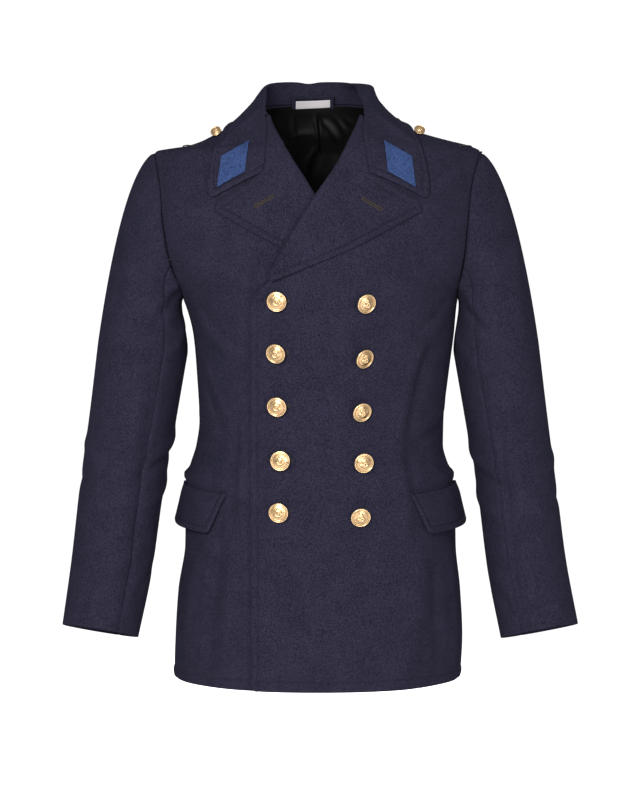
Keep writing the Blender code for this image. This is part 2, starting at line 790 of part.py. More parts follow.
def patch(side, half, stand_columns):
    """A rhombus of blue cloth on the collar's fall, made from the fall's own points."""
    fall = close_points(half[:, stand_columns:])
    u = np.linspace(0, 1, 7)[:, None, None]
    v = np.linspace(0, 1, 7)[None, :, None]
    corners = np.stack([side * PATCH["across"], PATCH["height"]], 1)
    corners[:, 0] -= 2.5
    top = corners[0] * (1 - v) + corners[1] * v
    low = corners[3] * (1 - v) + corners[2] * v
    wanted = top * (1 - u) + low * u
    points = behind(fall, wanted)
    across = points[:, -1] - points[:, 0]
    down = points[-1] - points[0]
    normal = unit(np.cross(across.mean(0), down.mean(0)))
    if normal[1] > 0:
        normal = -normal
    points = points + normal * (CLOTH / 2 + PATCH_CLEAR)
    name = "patch_left" if side > 0 else "patch_right"
    if side < 0:
        points = points[:, ::-1]
    wall(name, points[::-1], 1.0, PATCH_BLUE, roughness=0.95)


def sleeve_ring(side, height, around):
    """Sleeve section round the arm at a height of its middle line, 0 at the front."""
    height = np.asarray(height, float)
    own = "left" if side > 0 else "right"

    def middle(h):
        return np.stack(
            [
                side * read(SLEEVE, f"{own}_across", h),
                -read(SLEEVE, "forward", h),
                h,
            ],
            -1,
        )

    step = 4.0
    low = np.maximum(height - step, SLEEVE["height"][0])
    high = np.minimum(height + step, SLEEVE["height"][-1])
    down = unit(middle(low) - middle(high))
    inner = np.array([-side, 0.0, 0.0]) - down * (down[..., :1] * -side)
    inner = unit(inner)
    forward = np.cross(down, inner) * -side
    forward = forward * np.sign(-forward[..., 1:2])
    width = read(SLEEVE, f"{own}_width", height)[..., None, None]
    depth = read(SLEEVE, "depth", height)[..., None, None]
    cos = np.cos(around)[:, None]
    sin = np.sin(around)[:, None]
    return (
        middle(height)[..., None, :]
        + forward[..., None, :] * depth * cos
        + inner[..., None, :] * width * sin
    ), down


# How a sleeve leaves the armhole at its top, front and back, and underarm.
CROWN = {
    "top": (108.0, 0.0, -68.0),
    "front": (62.0, -20.0, -80.0),
    "back": (62.0, 22.0, -80.0),
    "under": (34.0, 0.0, -4.0),
}


def sleeve_grid(side, around, cap_rows, arm_rows):
    """Sleeve surface from the armhole to the cuff at angles round the arm."""
    from_top = around + math.pi / 2
    turn, height = armhole(np.mod(from_top, 2 * math.pi))
    start = ring_point(turn * side, height)
    normal = outward(start)
    up = np.cos(from_top)[:, None]
    fore = np.sin(from_top)[:, None]
    leave = (
        np.array(CROWN["top"]) * np.maximum(up, 0) ** 2
        + np.array(CROWN["under"]) * np.maximum(-up, 0) ** 2
        + np.array(CROWN["front"]) * np.maximum(fore, 0) ** 2
        + np.array(CROWN["back"]) * np.maximum(-fore, 0) ** 2
    )
    leave = leave * [side, 1, 1]
    lead = unit(leave)
    lean = np.abs(np.sum(lead * normal, 1, keepdims=True))
    start = start + lead * (SEAM + 0.8 + CLOTH / 2 * lean)
    ring, down = sleeve_ring(side, SLEEVE["height"][-1], around)
    ring = ring.reshape(-1, 3)
    reach = np.linalg.norm(ring - start, axis=1, keepdims=True)
    arrive = down.reshape(1, 3) * reach
    rows = [
        hermite(start, leave, ring, arrive, t) for t in np.linspace(0, 1, cap_rows + 1)[:-1]
    ]
    heights = np.linspace(SLEEVE["height"][-1], SLEEVE["height"][0], arm_rows + 1)
    arm, _ = sleeve_ring(side, heights, around)
    return np.concatenate([np.stack(rows), arm], 0)


def sleeve(side, part):
    """An upper or an under sleeve, between the front and back seams."""
    half_gap = 0.007
    if part == "upper":
        around = np.linspace(BACK_SEAM + half_gap, FRONT_SEAM + 2 * math.pi - half_gap, 17)
    else:
        around = np.linspace(FRONT_SEAM + half_gap, BACK_SEAM - half_gap, 10)
    grid = sleeve_grid(side, around, 8, 7)
    name = f"sleeve_{'left' if side > 0 else 'right'}_{part}"
    wall(name, grid[:, ::-1] if side < 0 else grid, CLOTH, NAVY)


def flap(side):
    """A pocket flap, sewn along its top and standing off below."""
    across = np.linspace(0, 1, 9)
    drop = np.linspace(0, 1, 4)[:, None]
    shift = FLAP["left_shift" if side > 0 else "right_shift"]
    front_turn = shift + FLAP["front_top"] + (FLAP["front_bottom"] - FLAP["front_top"]) * drop
    turn = np.radians(front_turn + (FLAP["rear"] - front_turn) * across)
    height = FLAP["top"] - FLAP["drop"] * drop + 5 * across
    stand = FLAP["stand_front"] + (FLAP["stand_rear"] - FLAP["stand_front"]) * across
    out = CLOTH / 2 + LAYER_GAP + 0.3 + FLAP_CLOTH / 2 + stand * drop**1.3
    height = np.broadcast_to(height, turn.shape)
    points = ring_point(turn * side, height)
    push = outward(points)
    under = lap_lift(side, points[..., 0], height) + folds(turn * side, height) * (1 - drop)
    grid = points + push * (out + under)[..., None]
    name = "flap_left" if side > 0 else "flap_right"
    wall(name, grid[::-1] if side < 0 else grid[::-1, ::-1], FLAP_CLOTH, NAVY)


def turned_piece(name, profile, place, axis, colour, segments):
    """Round piece: a profile of radius and height turned about an axis at a place."""
    mesh = bmesh.new()
    rings = []
    for radius, height in profile:
        if radius == 0:
            rings.append([mesh.verts.new((0, 0, height * MM))])
            continue
        ring = []
        for k in range(segments):
            angle = 2 * math.pi * k / segments
            ring.append(
                mesh.verts.new((radius * math.cos(angle) * MM, radius * math.sin(angle) * MM, height * MM))
            )
        rings.append(ring)
    for low, high in zip(rings, rings[1:]):
        for k in range(segments):
            after = (k + 1) % segments
            if len(low) == 1:
                mesh.faces.new([low[0], high[after], high[k]])
            elif len(high) == 1:
                mesh.faces.new([low[k], low[after], high[0]])
            else:
                mesh.faces.new([low[k], low[after], high[after], high[k]])
    up = np.array(axis, float)
    side = unit(np.cross(up, [0.0, 0.0, 1.0]))
    over = np.cross(side, up)
    for vertex in mesh.verts:
        local = np.array(vertex.co)
        vertex.co = side * local[0] + over * local[1] + up * local[2] + np.array(place) * MM
    bmesh.ops.recalc_face_normals(mesh, faces=mesh.faces[:])
    return finish(name, mesh, colour, 0.3, 1.0)


def button(name, point, axis, size, shank):
    """A domed button on its shank, its foot a seam's gap off the cloth."""
    half = size / 2
    foot = SEAM + 0.1
    profile = [
        (0, foot),
        (half * SHANK_WIDTH, foot),
        (half * SHANK_WIDTH, foot + shank),
        (half * 0.94, foot + shank + 0.6),
        (half, foot + shank + 1.2),
        (half * 0.72, foot + shank + half * 0.28),
        (half * 0.38, foot + shank + half * 0.4),
        (0, foot + shank + half * 0.44),
    ]
    turned_piece(name, profile, point, axis, GOLD, 12)


def tipped(normal, tip, towards):
    """The normal turned by tip towards a direction that is seen from the front, in degrees."""
    across = unit(np.cross(normal, [0.0, 0.0, -1.0]))
    up = np.cross(across, normal) * -1
    aim = across * math.cos(math.radians(towards)) + up * math.sin(math.radians(towards))
    return normal * math.cos(math.radians(tip)) + aim * math.sin(math.radians(tip))


def front_buttons(grid):
    """Five buttons a side, square to the over front that they are sewn to."""
    cloth = close_points(grid)
    for i in range(len(BUTTONS["right_across"])):
        for side in ("right", "left"):
            x = BUTTONS[f"{side}_across"][i]
            z = BUTTONS[f"{side}_height"][i]
            middle = behind(cloth, np.array([x, z]))
            normal = outward(middle)
            tip = BUTTONS[f"{side}_tip"][i]
            axis = tipped(normal, tip, BUTTONS[f"{side}_towards"][i])
            lift = CLOTH / 2 + BUTTON / 2 * SHANK_WIDTH * math.sin(math.radians(tip))
            name = f"button_{side}_{i + 1}"
            button(name, middle + normal * lift, axis, BUTTON, BUTTON_SHANK)


def shoulder_buttons():
    """A small button on each shoulder, just outside the collar's edge, tipped to the front."""
    for name, (x, height) in SHOULDER_BUTTONS.items():
        point = ring_point(turn_at(x, height), height)
        normal = outward(point)
        axis = unit(normal + [0.0, -1.0, 0.0])
        slant = np.linalg.norm(np.cross(normal, axis))
        lift = CLOTH / 2 + SHOULDER_BUTTON / 2 * SHANK_WIDTH * slant
        name = f"shoulder_button_{name}"
        button(name, point + normal * lift, axis, SHOULDER_BUTTON, SHOULDER_SHANK)


def inside_neck(x, height):
    """Points of the back neck on the side of the lining that faces the wearer's neck."""
    turn = math.pi - turn_at(np.abs(x), height) * np.sign(x)
    points = ring_point(turn, height)
    return points - outward(points) * NECK_TRIM_DEPTH


def neck_label():
    """Bare white label at the back neck, in front of the lining."""
    x = np.linspace(LABEL["right"], LABEL["left"], 7)
    middle = np.linspace(LABEL["low_end"], LABEL["high_end"], 7)
    up = np.array([-0.5, 0.0, 0.5])[:, None] * LABEL["tall"]
    grid = inside_neck(np.broadcast_to(x, (3, 7)), middle + up)
    wall("neck_label", grid, LABEL["thick"], LABEL_WHITE, roughness=0.8)


def hanger_loop():
    """Band of dark tape sewn down at both of its ends, over the label's ends and its top."""
    clear = LOOP["clear"]
    tape = LOOP["tape"]
    left = LABEL["left"] + clear
    right = LABEL["right"] - clear
    x = np.concatenate([[right - tape], np.linspace(right, left, 7), [left + tape]])
    top = LABEL["high_end"] + LABEL["tall"] / 2 + clear
    height = np.array([LOOP["end"], (LOOP["end"] + top) / 2, top, top + tape])[:, None]
    grid = inside_neck(np.broadcast_to(x, (4, 9)), np.broadcast_to(height, (4, 9)))
    cells = np.ones((3, 8), bool)
    cells[:2, 1:-1] = False
    wall("hanger_loop", grid, LOOP["thick"], NAVY, cells)


def main():
    for piece in list(bpy.data.objects):
        bpy.data.objects.remove(piece)
    fronts = {}
    for side in (1, -1):
        fronts[side] = front(side)
        back(side)
        lapel(side)
        sleeve(side, "upper")
        sleeve(side, "under")
        flap(side)
    halves, stand_columns = collar()
    for side in (1, -1):
        patch(side, halves[side], stand_columns)
    lining_back()
    neck_label()
    hanger_loop()
    front_buttons(fronts[1])
    shoulder_buttons()


main()
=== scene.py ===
"""Short double-breasted naval coat, dressed in wool, lining, thread and gilt.

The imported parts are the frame. Each cloth piece is worked out again on a fine grid from the
same named sizes as its solid, with the creases that the cloth has, and stands for that solid.
Tables are in millimetres: +Z is up, the front faces -Y and +X is the wearer's left.
"""

import math

import bpy
import numpy as np
from mathutils import Euler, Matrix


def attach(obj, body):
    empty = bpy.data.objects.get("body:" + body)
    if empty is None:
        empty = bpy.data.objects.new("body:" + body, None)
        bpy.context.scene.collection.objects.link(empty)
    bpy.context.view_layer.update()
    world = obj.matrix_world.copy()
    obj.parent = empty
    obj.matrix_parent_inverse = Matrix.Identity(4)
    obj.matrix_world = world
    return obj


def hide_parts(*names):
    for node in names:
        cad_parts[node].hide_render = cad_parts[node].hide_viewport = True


bl_info = {
    "name": "Naval coat",
    "version": (1, 0, 0),
    "blender": (4, 5, 0),
    "location": "3D View > Sidebar > Coat",
    "description": "Dresses the packed naval coat in wool, lining, thread and gilt",
    "category": "Object",
}

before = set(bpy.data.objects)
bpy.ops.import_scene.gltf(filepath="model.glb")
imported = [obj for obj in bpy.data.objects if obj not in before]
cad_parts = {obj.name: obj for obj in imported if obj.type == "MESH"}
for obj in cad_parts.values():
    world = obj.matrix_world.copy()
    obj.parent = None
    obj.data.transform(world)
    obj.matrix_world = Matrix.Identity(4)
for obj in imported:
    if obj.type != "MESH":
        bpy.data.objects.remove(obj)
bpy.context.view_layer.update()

MM = 0.001
CLOTH = 2.4
LAYER_GAP = 0.9
LAYER = CLOTH + LAYER_GAP
HEM = -729.5
UNDERARM = -243.0
SHOULDER_POINT = -56.0
BREAK = -216.0  # where the front edge turns into the roll line
OVERLAP = 84.0  # how far each front edge is cut past the centre
ROLL_LIFT = 4.4
ROLL_REACH = 15.0
LINING = 1.0
LINING_SLACK = 7.0
FLAP_CLOTH = 3.0
NECK_RADIUS = 150.0
MM_A_DEGREE = 2.7  # round the torso
FAR = 1e3  # farther than any edge work reaches
SMALLEST_CUT = 0.0101  # the label shows 9.8 mm of its ribbon, and its edges are turned under


def table(columns, *rows):
    """Named columns of a short table."""
    values = np.array(rows, float)
    return {name: values[:, i] for i, name in enumerate(columns.split())}


# Torso rings: (|x| / half) ** squareness + (|y| / depth) ** squareness = 1.
TORSO = table(
    "height right left front back squareness",
    (-730, 187, 184, 131, 122, 2.25),
    (-680, 185, 186, 130, 122, 2.25),
    (-620, 181, 183, 128, 120, 2.25),
    (-560, 172, 177, 125, 116, 2.2),
    (-500, 171, 176, 122, 109, 2.2),
    (-462, 166, 168, 119, 100, 2.15),
    (-431, 157, 160, 117, 94, 2.1),
    (-400, 153, 160.5, 116, 92, 2.1),
    (-338, 156, 167, 121, 98, 2.1),
    (-291, 160, 173, 127, 107, 2.1),
    (-243, 173, 178, 129, 117, 2.1),
    (-205, 198, 195, 128, 122, 2.1),
    (-172, 213, 206, 125, 123, 2.05),
    (-130, 220, 211, 119, 121, 2.0),
    (-92, 218, 211, 109, 114, 1.9),
    (-56, 210, 208, 96, 104, 1.75),
    (-48, 167, 193, 92, 101, 1.72),
    (-42, 149, 169, 89, 98, 1.7),
    (-36, 137, 146, 85, 95, 1.7),
    (-28, 121, 120, 80, 91, 1.7),
    (-20, 104, 103, 75, 87, 1.7),
    (-10, 90, 90, 69, 82, 1.7),
    (0, 80, 80, 62, 78, 1.75),
    (12, 71, 71, 52, 75, 1.8),
    (45, 60, 60, 38, 68, 1.9),
)
SIDE_FOLDS = table(
    "turn height wide tall proud",
    (-86, -470, 24, 6.5, 6.0),
    (86, -469, 24, 6.5, 5.0),
)
ROLL = table(
    "height across lean",
    (-216, -58.5, 0),
    (-164, -29.5, -1),
    (-113, 3.5, -2),
    (-100, 13, -2.4),
    (-73, 30.5, -3),
    (-41, 47.5, -4.2),
    (-28, 53, -4.4),
    (-13, 57.5, -4.6),
)
FRONT_EDGE = table(
    "height across",
    (-728, -84),
    (-300, -84),
    (-256, -83.4),
    (-238, -79.5),
    (-223, -66),
    (-216, -58.5),
)
LAPEL_LOWER = table(
    "height across",
    (-216.5, -56),
    (-203, -22),
    (-179, 36),
    (-131, 126),
)
GORGE = table(
    "height across",
    (-83, 66.5),
    (-75, 64.8),
    (-53, 61.6),
    (-30, 59.4),
    (-12, 60.4),
)
LAPEL_TIP = (126.5, -122.0)
NOTCH_HEIGHT = -83.0
NECK = table(
    "station turn height",
    (0.0, 180, 9),
    (0.18, 150, 8),
    (0.36, 118, 4),
    (0.52, 92, 0),
    (0.66, 67, -5),
    (0.80, 46.5, -12),
)
COLLAR = table(
    "station across back height edge_across edge_height edge_behind",
    (0.0, 0, 86, 38, 0, -24, 1),
    (0.18, 34, 79, 37.5, 50, -26, 1),
    (0.36, 56, 50, 34, 92, -27, 1),
    (0.52, 62, 13, 27, 111, -20, 0),
    (0.60, 61.6, -6.6, 20, 117, -29, 0),
    (0.66, 61, -22, 13, 123, -43, 0),
    (0.73, 60, -38, 4.5, 128, -57, 0),
    (0.80, 58.5, -53, -6, 133, -74, 0),
    (0.91, 60, -95, -50, 136, -98, 0),
    (1.0, 62, -100, -82, 134, -116, 0),
)
COLLAR_LEAN = -6.5
LEFT_TUCK = 6.0  # how much nearer the neck the collar's left side stands
GORGE_STATION = 0.80
GORGE_TOP = -12.0
GORGE_CLEAR = 0.4  # between the lapel's layer and the collar at the gorge
FALL_CLEAR = 0.75  # between the coat's layer and the collar's fall
RIDGE_STATION = 0.52  # where the collar's edge crosses the shoulder's ridge
SLEEVE = table(
    "height right_across right_width left_across left_width forward depth",
    (-665, 279, 48, 282.5, 49, 56, 50),
    (-583, 265.5, 51, 267.5, 49.5, 37, 54),
    (-491, 254.5, 52.5, 256.5, 49.5, 18, 59),
    (-399, 240.5, 54.5, 243, 51.5, 5, 63),
    (-307, 227, 57, 229.5, 54, -2, 66),
)
FRONT_SEAM = math.radians(33)
BACK_SEAM = math.radians(155)
# Each button tips on its shank by degrees towards a direction, 0 for left and 90 for up.
BUTTONS = table(
    "right_across right_height right_tip right_towards"
    " left_across left_height left_tip left_towards",
    (-50.2, -241.1, 5, -70, 56.0, -242.6, 22, -48),
    (-50.5, -304.6, 9, -130, 53.3, -310.3, 25, -28),
    (-49.9, -371.6, 7, -100, 51.3, -377.5, 19, -50),
    (-46.4, -440.5, 4, -60, 54.5, -442.6, 12, -75),
    (-48.4, -504.0, 9, -95, 51.3, -508.4, 21, -92),
)
BUTTON_SHANK = 4.6  # from the foot to the back of the head
SHOULDER_SHANK = 4.4
SHOULDER_BUTTONS = {1: (127.0, -33.0), -1: (-128.0, -34.0)}
SHANK_WIDTH = 0.22  # of the button's half width
BUTTON_FOOT = 0.4
FLAP = {
    "top": -486.0,
    "drop": 49.0,
    "front_top": 40.0,
    "front_bottom": 49.5,
    "rear": 94.0,
    "stand_front": 3.0,
    "stand_rear": 10.0,
    "left_shift": -1.8,
    "right_shift": 0.8,
}
PATCH = table(
    "across height",
    (84, -44),
    (118, -63.4),
    (122.5, -101),
    (88.5, -82),
)
CROWN = {
    "top": (108.0, 0.0, -68.0),
    "front": (62.0, -20.0, -80.0),
    "back": (62.0, 22.0, -80.0),
    "under": (34.0, 0.0, -4.0),
}
NECK_TRIM_DEPTH = 5.4
LABEL = {"right": -32.0, "left": 16.5, "low_end": 9.0, "high_end": 11.0, "tall": 9.0, "thick": 1.0}
LOOP = {"clear": 1.2, "tape": 4.0, "end": 4.0, "thick": 1.2}

# Creases of the body, in millimetres: across is MM_A_DEGREE for each degree of turn from the
# front, towards the wearer's left. Proud is above 0 on a ridge and below 0 in a trough.
BODY_CREASES = table(
    "across_1 height_1 across_2 height_2 bend wide proud",
    (109, -436, 107, -484, 0, 2.6, -1.1),
    (-112, -452, -112, -484, 0, 2.6, -1.0),
    (172, -255, 96, -318, 7, 11, 2.0),
    (176, -238, 118, -282, 5, 7, -1.8),
    (-178, -262, -92, -312, -8, 11, 2.0),
    (-170, -240, -120, -290, -4, 7, -1.6),
    (226, -372, 128, -398, 9, 10, 1.9),
    (222, -408, 120, -430, -7, 8, -1.7),
    (-224, -384, -126, -410, -8, 10, 1.8),
    (-220, -420, -132, -432, 6, 8, -1.6),
    (228, -448, 150, -456, 4, 6, 1.4),
    (-228, -450, -156, -458, -5, 6, 1.5),
    (118, -545, 84, -724, 6, 13, 2.2),
    (148, -560, 142, -728, -5, 12, -2.3),
    (190, -552, 178, -728, 4, 14, 2.4),
    (-96, -540, -92, -722, -5, 11, 1.9),
    (-122, -498, -128, -728, 5, 12, -2.4),
    (-160, -552, -170, -728, -6, 15, 2.6),
    (60, -560, 40, -690, 8, 16, 1.2),
    (-36, -610, -20, -720, 5, 15, -1.2),
    (20, -270, 34, -350, 6, 12, 0.9),
    (-70, -330, -30, -390, 6, 10, -0.9),
    (96, -380, 74, -470, 6, 12, 1.2),
    (-90, -385, -78, -470, -6, 12, 1.2),
    (128, -285, 100, -425, -3, 9, 2.4),
    (144, -290, 118, -430, -3, 10, -2.0),
    (100, -415, 96, -560, 2, 8, 2.0),
    (118, -425, 114, -484, 2, 8, -1.4),
    (-172, -322, -116, -402, -3, 5, 1.6),
    (-180, -350, -128, -420, -3, 6, -1.5),
    (-100, -400, -84, -545, 2, 6, 1.7),
    (-114, -395, -98, -540, 2, 7, -1.5),
    (486, -40, 486, -560, 0, 2.4, -1.0),
    (-486, -40, -486, -560, 0, 2.4, -1.0),
    (312, -205, 420, -262, 9, 12, 2.2),
    (-318, -198, -410, -270, -9, 12, 2.1),
    (300, -236, 386, -318, -7, 9, -1.9),
    (-296, -244, -392, -306, 6, 9, -1.8),
    (262, -388, 392, -412, 8, 10, 2.1),
    (-258, -396, -402, -418, -8, 11, 2.0),
    (270, -424, 430, -438, -6, 8, -1.8),
    (-266, -430, -418, -446, 7, 8, -1.9),
    (280, -462, 380, -458, 4, 9, 1.5),
    (-286, -458, -372, -470, -5, 9, 1.6),
    (300, -520, 290, -726, 6, 15, 2.5),
    (-312, -528, -300, -726, -6, 15, 2.3),
    (350, -540, 356, -728, -5, 13, -2.5),
    (-362, -530, -352, -728, 5, 13, -2.4),
    (412, -520, 420, -728, 5, 15, 2.2),
    (-420, -526, -410, -728, -5, 15, 2.4),
)
# Creases of a sleeve: across is degrees round the arm, 0 at the front and 90 at the inside.
SLEEVE_CREASES = table(
    "across_1 height_1 across_2 height_2 bend wide proud",
    (20, -352, 31, -652, 2, 5, -1.5),
    (4, -348, 14, -650, -2, 9, 1.5),
    (-64, -150, -30, -262, 6, 10, 1.6),
    (62, -205, 6, -262, 7, 8, 2.2),
    (70, -236, 2, -300, -6, 7, -2.0),
    (84, -268, 20, -330, 6, 9, 1.9),
    (104, -418, 18, -452, 8, 8, 2.3),
    (108, -446, 6, -486, -6, 7, -2.1),
    (112, -474, 24, -512, 7, 8, 2.0),
    (-96, -432, -30, -470, 7, 9, 1.5),
    (-104, -470, -44, -498, -5, 8, -1.5),
    (40, -560, -16, -604, 6, 10, 1.3),
    (96, -590, 44, -630, -5, 9, -1.3),
    (-150, -180, -112, -280, 6, 10, 1.8),
    (-168, -230, -120, -330, -6, 9, -1.7),
    (-172, -400, -118, -448, 7, 9, 1.9),
    (-160, -452, -110, -520, -6, 9, -1.7),
    (172, -396, 118, -440, 6, 8, 2.0),
    (168, -452, 120, -490, -5, 8, -1.8),
    (-150, -560, -126, -650, 5, 12, 1.5),
)
# Folds of the back lining: across and height as the front view shows them.
LINING_FOLDS = table(
    "across_1 height_1 across_2 height_2 bend wide proud",
    (-9, 8, -1, -50, 2, 2.6, 3.2),
    (-3, 6, 5, -46, 2, 3.4, -2.2),
    (-1, -38, -20, -92, -5, 3.4, 3.2),
    (6, -42, -10, -104, -4, 4.2, -2.4),
    (-37, 4, -34, -34, 0, 2.6, 2.4),
    (-38, -28, -6, -26, 2, 3.0, 1.8),
    (8, 4, 40, -26, 3, 3.0, 2.2),
    (2, -8, 34, -44, 4, 3.6, 2.0),
    (24, 2, 50, -14, -2, 3.0, 1.8),
    (-62, 0, -42, -36, 3, 3.4, 2.0),
    (-72, -12, -52, -58, -4, 4.0, 1.8),
    (24, -44, 10, -150, 5, 7, 2.6),
    (-42, -54, -26, -160, -5, 8, -2.4),
    (50, -56, 34, -160, 6, 8, 2.2),
    (-66, -70, -50, -170, 5, 8, 2.2),
    (84, -60, 66, -170, 6, 9, -2.0),
    (-96, -70, -80, -180, -6, 9, 2.0),
)

# Edge work: how far in the stitching runs, and how the cloth swells and sinks beside it.
EDGE_INSET = 9.0
HEM_INSET = 12.0
FLAP_INSET = 7.0
PATCH_INSET = 1.7
SWELL = 1.3
GORGE_SINK = 0.8  # how far the collar and lapel round down into the gorge seam
CREASE_DEPTH = 1.35
SEAM_SINK = 1.5
SEAM_WIDE = 2.3
GORGE_WIDE = 1.5
SINK = 1.0
GROOVE = 1.5
STITCH_PITCH = 3.4  # a stitch and the dip between two
STITCH = 2.5
THREAD = 0.3  # half of its width, drawn twice as wide as the real thread, so that it shows
LAPEL_HOLES = {-1: ((-56, -112.5), (-78, -125)), 1: ((54, -115), (77, -128.5))}
HOLE_LENGTH = 27.0
HOLE_EYE = 1.9


def smooth(at, knots, values):
    """Monotone cubic curve through a table's rows, which never swings past a row's value."""
    at = np.clip(np.asarray(at, float), knots[0], knots[-1])
    step = np.diff(knots)
    slope = np.diff(values) / step
    tangent = np.zeros_like(values)
    tangent[0] = slope[0]
    tangent[-1] = slope[-1]
    for i in range(1, len(knots) - 1):
        if slope[i - 1] * slope[i] > 0:
            before = 2 * step[i] + step[i - 1]
            after = step[i] + 2 * step[i - 1]
            tangent[i] = (before + after) / (before / slope[i - 1] + after / slope[i])
    i = np.clip(np.searchsorted(knots, at, side="right") - 1, 0, len(knots) - 2)
    t = (at - knots[i]) / step[i]
    return (
        (1 + 2 * t) * (1 - t) ** 2 * values[i]
        + t * (1 - t) ** 2 * step[i] * tangent[i]
        + t * t * (3 - 2 * t) * values[i + 1]
        + t * t * (t - 1) * step[i] * tangent[i + 1]
    )


def read(source, column, at, by="height"):
    """A column of a table at a height, or at a station of it."""
    return smooth(at, source[by], source[column])


def ease(value, start, end):
    """0 before start, 1 after end, and a soft step between them."""
    t = np.clip((value - start) / (end - start), 0, 1)
    return t * t * (3 - 2 * t)


def unit(vectors):
    """Vectors divided by their lengths."""
    return vectors / np.maximum(np.linalg.norm(vectors, axis=-1, keepdims=True), 1e-9)


def hermite(start, leave, end, arrive, t):
    """Curve from start to end whose tangents there are leave and arrive."""
    return (
        (1 + 2 * t) * (1 - t) ** 2 * start
        + t * (1 - t) ** 2 * leave
        + t * t * (3 - 2 * t) * end
        + t * t * (t - 1) * arrive
    )


def creases(source, across, up):
    """Sum of soft ridges: each is proud * exp(-(distance off its bent line / wide) ** 2),
    faded in and out over the quarters at its two ends."""
    across, up = np.broadcast_arrays(across, up)
    total = np.zeros(across.shape)
    for x1, z1, x2, z2, bend, wide, proud in zip(*source.values()):
        length = math.hypot(x2 - x1, z2 - z1)
        along = ((across - x1) * (x2 - x1) + (up - z1) * (z2 - z1)) / length**2
        off = ((up - z1) * (x2 - x1) - (across - x1) * (z2 - z1)) / length
        off = off - bend * 4 * along * (1 - along)
        ends = ease(along, -0.08, 0.25) * (1 - ease(along, 0.75, 1.08))
        total = total + proud * np.exp(-((off / wide) ** 2)) * ends
    return total


def torso_half(x, height):
    """Half of the torso's width on the side that x is on."""
    return np.where(x >= 0, read(TORSO, "left", height), read(TORSO, "right", height))


def torso_depth(y, height):
    """The torso's depth on the side that y is on: the front is below 0."""
    return np.where(y <= 0, read(TORSO, "front", height), read(TORSO, "back", height))


def ring_point(turn, height):
    """Point of the torso's ring at a turn from the front and a height:
    x = half * sin ** (2 / squareness), y = -depth * cos ** (2 / squareness)."""
    turn, height = np.broadcast_arrays(np.asarray(turn, float), np.asarray(height, float))
    power = 2 / read(TORSO, "squareness", height)
    side = np.sin(turn)
    fore = np.cos(turn)
    x = torso_half(side, height) * np.sign(side) * np.abs(side) ** power
    y = -torso_depth(-fore, height) * np.sign(fore) * np.abs(fore) ** power
    return np.stack([x, y, height], -1)


def ring_level(points):
    """0 on the torso's rings and above 0 outside them."""
    x, y, z = np.moveaxis(points, -1, 0)
    power = read(TORSO, "squareness", z)
    reach = (np.abs(x) / torso_half(x, z)) ** power + (np.abs(y) / torso_depth(y, z)) ** power
    return reach ** (1 / power) - 1


def ring_slope(points):
    """Gradient of ring_level by small steps."""
    step = 0.6
    parts = []
    for axis in np.eye(3):
        parts.append(ring_level(points + axis * step) - ring_level(points - axis * step))
    return np.stack(parts, -1) / (2 * step)


def outward(points):
    """Unit normal of the torso's rings."""
    return unit(ring_slope(points))


def keep_off(points, clear):
    """Moves the points that are nearer the torso than clear out to it."""
    for _ in range(4):
        slope = ring_slope(points)
        length = np.linalg.norm(slope, axis=-1)
        short = np.maximum(clear - ring_level(points) / length, 0)
        points = points + slope / length[..., None] * short[..., None]
    return points


def turn_at(x, height):
    """Turn of the torso's front point that is x across."""
    x, height = np.broadcast_arrays(np.asarray(x, float), np.asarray(height, float))
    power = read(TORSO, "squareness", height) / 2
    share = np.clip(np.abs(x) / torso_half(x, height), 0, 1)
    return np.sign(x) * np.arcsin(share**power)


def relief(turn, height):
    """How far the folds and creases of the torso's cloth stand out."""
    proud = np.zeros(np.broadcast(turn, height).shape)
    for i in range(len(SIDE_FOLDS["turn"])):
        across = (np.degrees(turn) - SIDE_FOLDS["turn"][i]) / SIDE_FOLDS["wide"][i]
        up = (height - SIDE_FOLDS["height"][i]) / SIDE_FOLDS["tall"][i]
        proud = proud + SIDE_FOLDS["proud"][i] * np.exp(-(across**4) - up**2)
    wrapped = (np.degrees(turn) + 180) % 360 - 180
    return proud + CREASE_DEPTH * creases(BODY_CREASES, wrapped * MM_A_DEGREE, height)


def on_torso(turn, height, out):
    """Torso point moved out along its normal, with the folds and creases."""
    points = ring_point(turn, height)
    return points + outward(points) * (out + relief(turn, height))[..., None]


def lap_lift(side, x, height):
    """How far a front stands off because of the front and lapel under it."""
    if side < 0:
        return np.zeros(np.broadcast(x, height).shape)
    under_edge = np.where(
        height < BREAK,
        OVERLAP,
        -read(ROLL, "across", height) + read(ROLL, "lean", height),
    )
    layers = LAYER * (1 + ease(height, -285, -225))
    return layers * (1 - ease(x - under_edge, 8, 72))


def front_point(side, x, height, out=0.0):
    """Point of a front at x across, moved out of its own middle surface."""
    turn = turn_at(x, height)
    return on_torso(turn, height, out + lap_lift(side, x, height))


def all_cells(grid):
    """A mask that keeps every cell of a grid."""
    return np.ones((len(grid) - 1, grid.shape[1] - 1), bool)


def grid_normal(middle, cells):
    """Unit normals of a grid: the sum of its kept cells' diagonals crossed."""
    a = middle[:-1, :-1]
    b = middle[:-1, 1:]
    c = middle[1:, 1:]
    d = middle[1:, :-1]
    facing = np.cross(c - a, b - d) * cells[..., None]
    normal = np.zeros_like(middle)
    normal[:-1, :-1] += facing
    normal[:-1, 1:] += facing
    normal[1:, 1:] += facing
    normal[1:, :-1] += facing
    return unit(normal)


